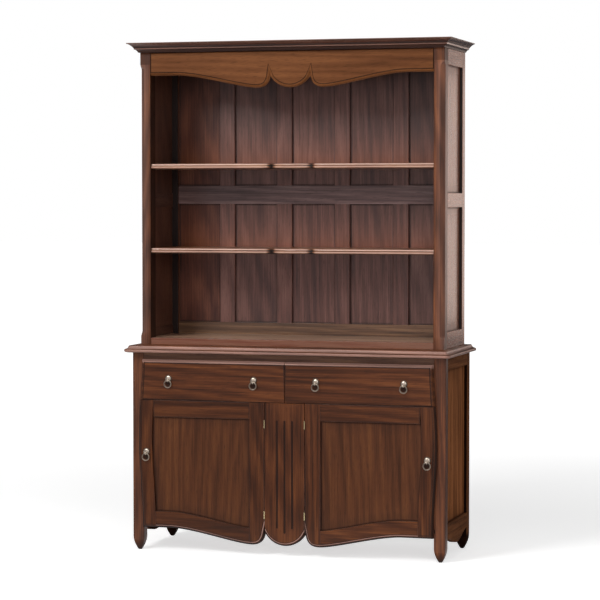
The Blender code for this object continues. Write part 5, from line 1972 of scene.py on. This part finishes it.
@dataclass
class Cornice:
    """The cornice: a hollow bed mould, a fillet, a cove and a lip, mitred at both corners."""

    front: float = -172.0
    height: float = 39.0
    reach: float = 42.0
    foot: float = 3.0
    shelf: float = 17.0
    bed: float = 12.5
    lip: float = 3.0
    fillet: float = 4.0
    ledge: float = 26.0
    board: float = 16.3
    bed_sag: float = 0.20
    cove_sag: float = 0.11
    tone: float = 0.8
    dust: float = 0.7
    # The front run's fillet keeps only a faint painted highlight
    front_rub: float = -0.15

    def section(self) -> tuple[Array, Array]:
        """Return the section, out and up from the rack's top, and its stain.

        Both hollows are cubic curves whose handles sag inwards from the straight line. Dust lies on
        top, painted shade fills the bed and the foot of the cove, the fillet between carries a
        painted highlight, and the upper cove and the lip a faint one.

        Returns:
            Points x 2 and stain.
        """
        cove_low, cove_top = self.bed + self.fillet, self.height - self.fillet
        bed = self.sagging((self.foot, 0.0), (self.shelf, self.bed), self.bed_sag)
        cove = self.sagging((self.shelf, cove_low), (self.reach - self.lip, cove_top),
                            self.cove_sag)
        back = [(-self.ledge, self.height), (-self.ledge, self.board),
                (CLEAR, self.board), (CLEAR, 0.0)]
        lip = [(self.reach - 0.6, cove_top), (self.reach, cove_top + 0.6),
               (self.reach, self.height - 0.8), (self.reach - 0.8, self.height),
               (self.reach - 2.5, self.height)]
        points = np.vstack((back, (self.foot, 0.0), bed, (self.shelf, cove_low), cove, lip))
        grime = np.linspace(0.9, 0.5, len(bed))[:-1]
        stain = np.hstack((self.dust, self.dust, 0.0, 0.0, 0.9, grime, -1.0, -1.0,
                           1.0, 0.9, 0.6, 0.2, 0.0, np.full(9, -0.1), self.dust))
        return points, stain

    @staticmethod
    def sagging(start: Pair, end: Pair, depth: float) -> Array:
        """Draw a hollow between two points of a section.

        Args:
            start: First point.
            end: Last point.
            depth: How far it sags, as a share of its run and rise.

        Returns:
            Points x 2, without the first.
        """
        run, rise = end[0] - start[0], end[1] - start[1]
        handles = [(start[0] + (third - depth) * run, start[1] + (third + depth) * rise)
                   for third in (1 / 3, 2 / 3)]
        return bezier((start, *handles, end), 10)

    def run(self, start: tuple[Side, bool], finish: tuple[Side, bool]) -> Skin:
        """Carry the section straight from one station to the next.

        A station is a side and whether the section is mitred there; a mitred section stands out
        forwards as far as it stands out sideways.

        Args:
            start: First station.
            finish: Last station.

        Returns:
            The closed run.
        """
        points, stain = self.section()
        out, up = points.T
        rings = []
        for side, mitred in (start, finish):
            y = self.front - out if mitred else np.full_like(out, RACK_BACK)
            rings.append(np.stack((side.value * (RACK_OUT + out), y, RACK_TOP + up), axis=-1))
        return stacked(np.stack(rings), np.broadcast_to(stain, (2, len(stain))))

    def build(self) -> None:
        """Make the three runs and dress the board under them."""
        left, right = Side
        runs = (
            self.run((left, False), (left, True)).cut(Grain.DEEP, "cornice left", self.tone),
            self.run((left, True), (right, True)).cut(Grain.LEVEL, "cornice front", self.tone),
            self.run((right, True), (right, False)).cut(Grain.DEEP, "cornice right", self.tone),
        )
        front = runs[1]
        # The painted highlight on the front fillet is softened
        front.stain = np.where(front.stain < -0.5, self.front_rub, front.stain)
        make_piece("cornice_runs", joined(runs), CORNICE_WOOD, "cornice")
        dress(BACK_WOOD, Grain.SHELF, "rack_top_board")


@dataclass(frozen=True)
class SoftBox:
    """A rectangular soft box.

    Attributes:
        name: Its name.
        place: Where it hangs, in metres.
        target: What it points at.
        size: Width and height.
        power: Watts.
        mirrored: Whether the polish mirrors it.
    """

    name: str
    place: Place
    target: Place
    size: Pair
    power: float
    mirrored: bool = True

    def hang(self) -> None:
        """Hang it and turn it to its target."""
        lamp = bpy.data.lights.new(self.name, "AREA")
        lamp.shape = "RECTANGLE"
        lamp.size, lamp.size_y = self.size
        lamp.energy = self.power
        box = bpy.data.objects.new(self.name, lamp)
        away = np.array(self.place) - np.array(self.target)
        flat = math.hypot(away[0], away[1])
        box.location = self.place
        box.rotation_euler = (math.atan2(flat, away[2]), 0.0, math.atan2(away[0], -away[1]))
        box.visible_camera = False
        box.visible_glossy = self.mirrored
        bpy.context.scene.collection.objects.link(box)


@dataclass(frozen=True)
class Card:
    """A card that only reflections see: a line of places and heights carried straight across.

    Attributes:
        name: Its name.
        line: Depth and height of each bend, in metres.
        across: Where it starts and ends from left to right.
        level: How light it is.
        tint: Its colour.
        sideways: Whether it stands at one side, the line then going along X and across along Y.
    """

    name: str
    line: tuple[Pair, ...]
    across: Pair
    level: float
    tint: str = "#fffafc"
    sideways: bool = False

    def hang(self) -> None:
        """Make the sheet and give it an even glow."""
        material = fresh_material(self.name + "_matt")
        tree = material.node_tree
        glow = node(tree, "Emission", {"Color": linear(self.tint), "Strength": self.level})
        node(tree, "OutputMaterial", {"Surface": glow})
        line = np.array(self.line)
        across, place = np.meshgrid(self.across, line[:, 0])
        x, y = (place, across) if self.sideways else (across, place)
        points = np.stack((x, y, np.broadcast_to(line[:, 1:], x.shape)), axis=-1)
        mesh = bpy.data.meshes.new(self.name)
        mesh.from_pydata(points.reshape(-1, 3), [], lattice(*points.shape[:2], False).tolist())
        mesh.materials.append(material)
        card = bpy.data.objects.new(self.name, mesh)
        card.visible_camera = False
        card.visible_diffuse = False
        card.visible_shadow = False
        bpy.context.scene.collection.objects.link(card)


@dataclass
class Studio:
    """A pale floor, soft boxes, cards and the camera."""

    camera_place: Place = (2.8002, -9.4958, 1.509)
    heading: float = 16.433
    dip: float = 2.575
    lens: float = 140.121
    floor_half: float = 60.0
    floor_white: float = 0.82
    floor_fade: Pair = (1.2, 7.0)
    floor_glow: Pair = (0.62, 1.0)
    surround: float = 0.16
    lamps: tuple[SoftBox, ...] = (
        SoftBox("key", (-2.1, -4.6, 4.2), (0.0, 0.0, 1.1), (1.8, 1.8), 170.0),
        SoftBox("fill", (2.6, -4.8, 2.6), (0.0, 0.0, 1.2), (1.8, 1.8), 60.0),
        SoftBox("low", (0.8, -5.6, 0.9), (0.0, 0.0, 1.1), (3.0, 1.2), 66.0, mirrored=False),
        SoftBox("top", (0.0, -1.6, 4.4), (0.0, -0.2, 1.0), (3.0, 1.2), 30.0),
    )
    cards: tuple[Card, ...] = (
        Card("card_floor", ((-0.9, 0.004), (-11.5, 0.004)), (-14.0, 9.0), 0.30),
        Card("card_bend", ((-11.5, 0.004), (-12.4, 0.3), (-12.8, 1.3)), (-14.0, 9.0), 1.25,
             "#f2f6ff"),
        Card("card_wall", ((-12.8, 1.3), (-13.0, 12.0)), (-14.0, 9.0), 0.34),
        Card("card_left", ((-6.0, 0.004), (-6.0, 6.0)), (-11.0, 9.0), 0.16, sideways=True),
        Card("card_right", ((7.0, 0.004), (7.0, 6.0)), (-11.0, 4.9), 0.35, sideways=True),
        Card("card_end", ((5.0, 0.66), (5.0, 2.32)), (1.3, 7.0), 1.8, "#ffe6da"),
        Card("card_lip", ((5.0, 2.42), (5.0, 2.52)), (1.3, 7.0), 2.0, "#ffe6da"),
        Card("flag_end", ((0.35, 0.004), (5.02, 0.004), (5.02, 6.0)), (0.75, 7.0), 0.12),
        Card("flag_back", ((5.02, 0.004), (5.02, 6.0)), (-14.0, 0.75), 0.12),
    )

    def stand_camera(self) -> None:
        """Stand the camera where the photograph was taken from, level but for a slight dip."""
        lens = bpy.data.cameras.new("camera")
        lens.lens = self.lens
        lens.sensor_width = 36.0
        lens.clip_end = 200.0
        camera = bpy.data.objects.new("camera", lens)
        camera.location = self.camera_place
        camera.rotation_euler = (math.radians(90.0 - self.dip), 0.0, math.radians(self.heading))
        bpy.context.scene.collection.objects.link(camera)
        bpy.context.scene.camera = camera

    @staticmethod
    def seen(tree: bpy.types.NodeTree) -> Any:
        """Find the rays that the eye follows: straight, mirrored or let through.

        Args:
            tree: A node tree.

        Returns:
            Socket that is 1 for such a ray.
        """
        rays = node(tree, "LightPath").outputs
        eye = node(tree, "Math", {0: rays["Is Camera Ray"], 1: rays["Is Glossy Ray"]},
                   operation="MAXIMUM")
        every = node(tree, "Math", {0: eye, 1: rays["Is Transmission Ray"]},
                     operation="MAXIMUM")
        return every.outputs[0]

    def lay_floor(self) -> None:
        """Lay a matt white floor that keeps the shadow and glows a little to the eye."""
        material = fresh_material("floor_matt_white")
        tree = material.node_tree
        where = node(tree, "TexCoord")
        away = node(tree, "VectorMath", {0: where.outputs["Object"]}, operation="LENGTH")
        ends = dict(enumerate((away.outputs["Value"], *self.floor_fade, *self.floor_glow)))
        rise = node(tree, "MapRange", ends, interpolation_type="SMOOTHSTEP")
        glow = node(tree, "Math", {0: self.seen(tree), 1: rise},
                    operation="MULTIPLY")
        matt = node(tree, "BsdfDiffuse", {"Color": (*[self.floor_white] * 3, 1.0)})
        light = node(tree, "Emission", {"Strength": glow})
        both = node(tree, "AddShader", {0: matt, 1: light})
        node(tree, "OutputMaterial", {"Surface": both})
        reach = np.array([-1.0, 1.0]) * self.floor_half
        x, y = np.meshgrid(reach, reach)
        points = np.stack((x, y, np.zeros_like(x)), axis=-1).reshape(-1, 3)
        mesh = bpy.data.meshes.new("floor")
        mesh.from_pydata(points, [], lattice(2, 2, False).tolist())
        mesh.materials.append(material)
        floor = bpy.data.objects.new("floor", mesh)
        bpy.context.scene.collection.objects.link(floor)

    def light(self) -> None:
        """Hang the soft boxes and set the white surround."""
        for lamp in self.lamps:
            lamp.hang()
        world = bpy.data.worlds.new("surround")
        world.use_nodes = True
        tree = world.node_tree
        tree.nodes.clear()
        level = node(tree, "MapRange", {0: self.seen(tree), 3: self.surround, 4: 1.0})
        glow = node(tree, "Background", {
            "Color": (1.0, 1.0, 1.0, 1.0), "Strength": level})
        node(tree, "OutputWorld", {"Surface": glow})
        bpy.context.scene.world = world

    def build(self) -> None:
        """Set up the whole studio."""
        self.stand_camera()
        self.lay_floor()
        self.light()
        for card in self.cards:
            card.hang()
        view = bpy.context.scene.view_settings
        view.view_transform = "Standard"


def main() -> None:
    """Build every part of the dresser, then the studio."""
    logging.basicConfig(level=logging.INFO, format="%(message)s")
    BaseTop().build()
    BaseSides().build()
    Pilaster().build()
    for side in Side:
        Drawer(side).build()
        Door(side).build()
    RackSides().build()
    Shelves().build()
    RackBack().build()
    Frieze().build()
    Cornice().build()
    Studio().build()


if __name__ == "__main__":
    main()
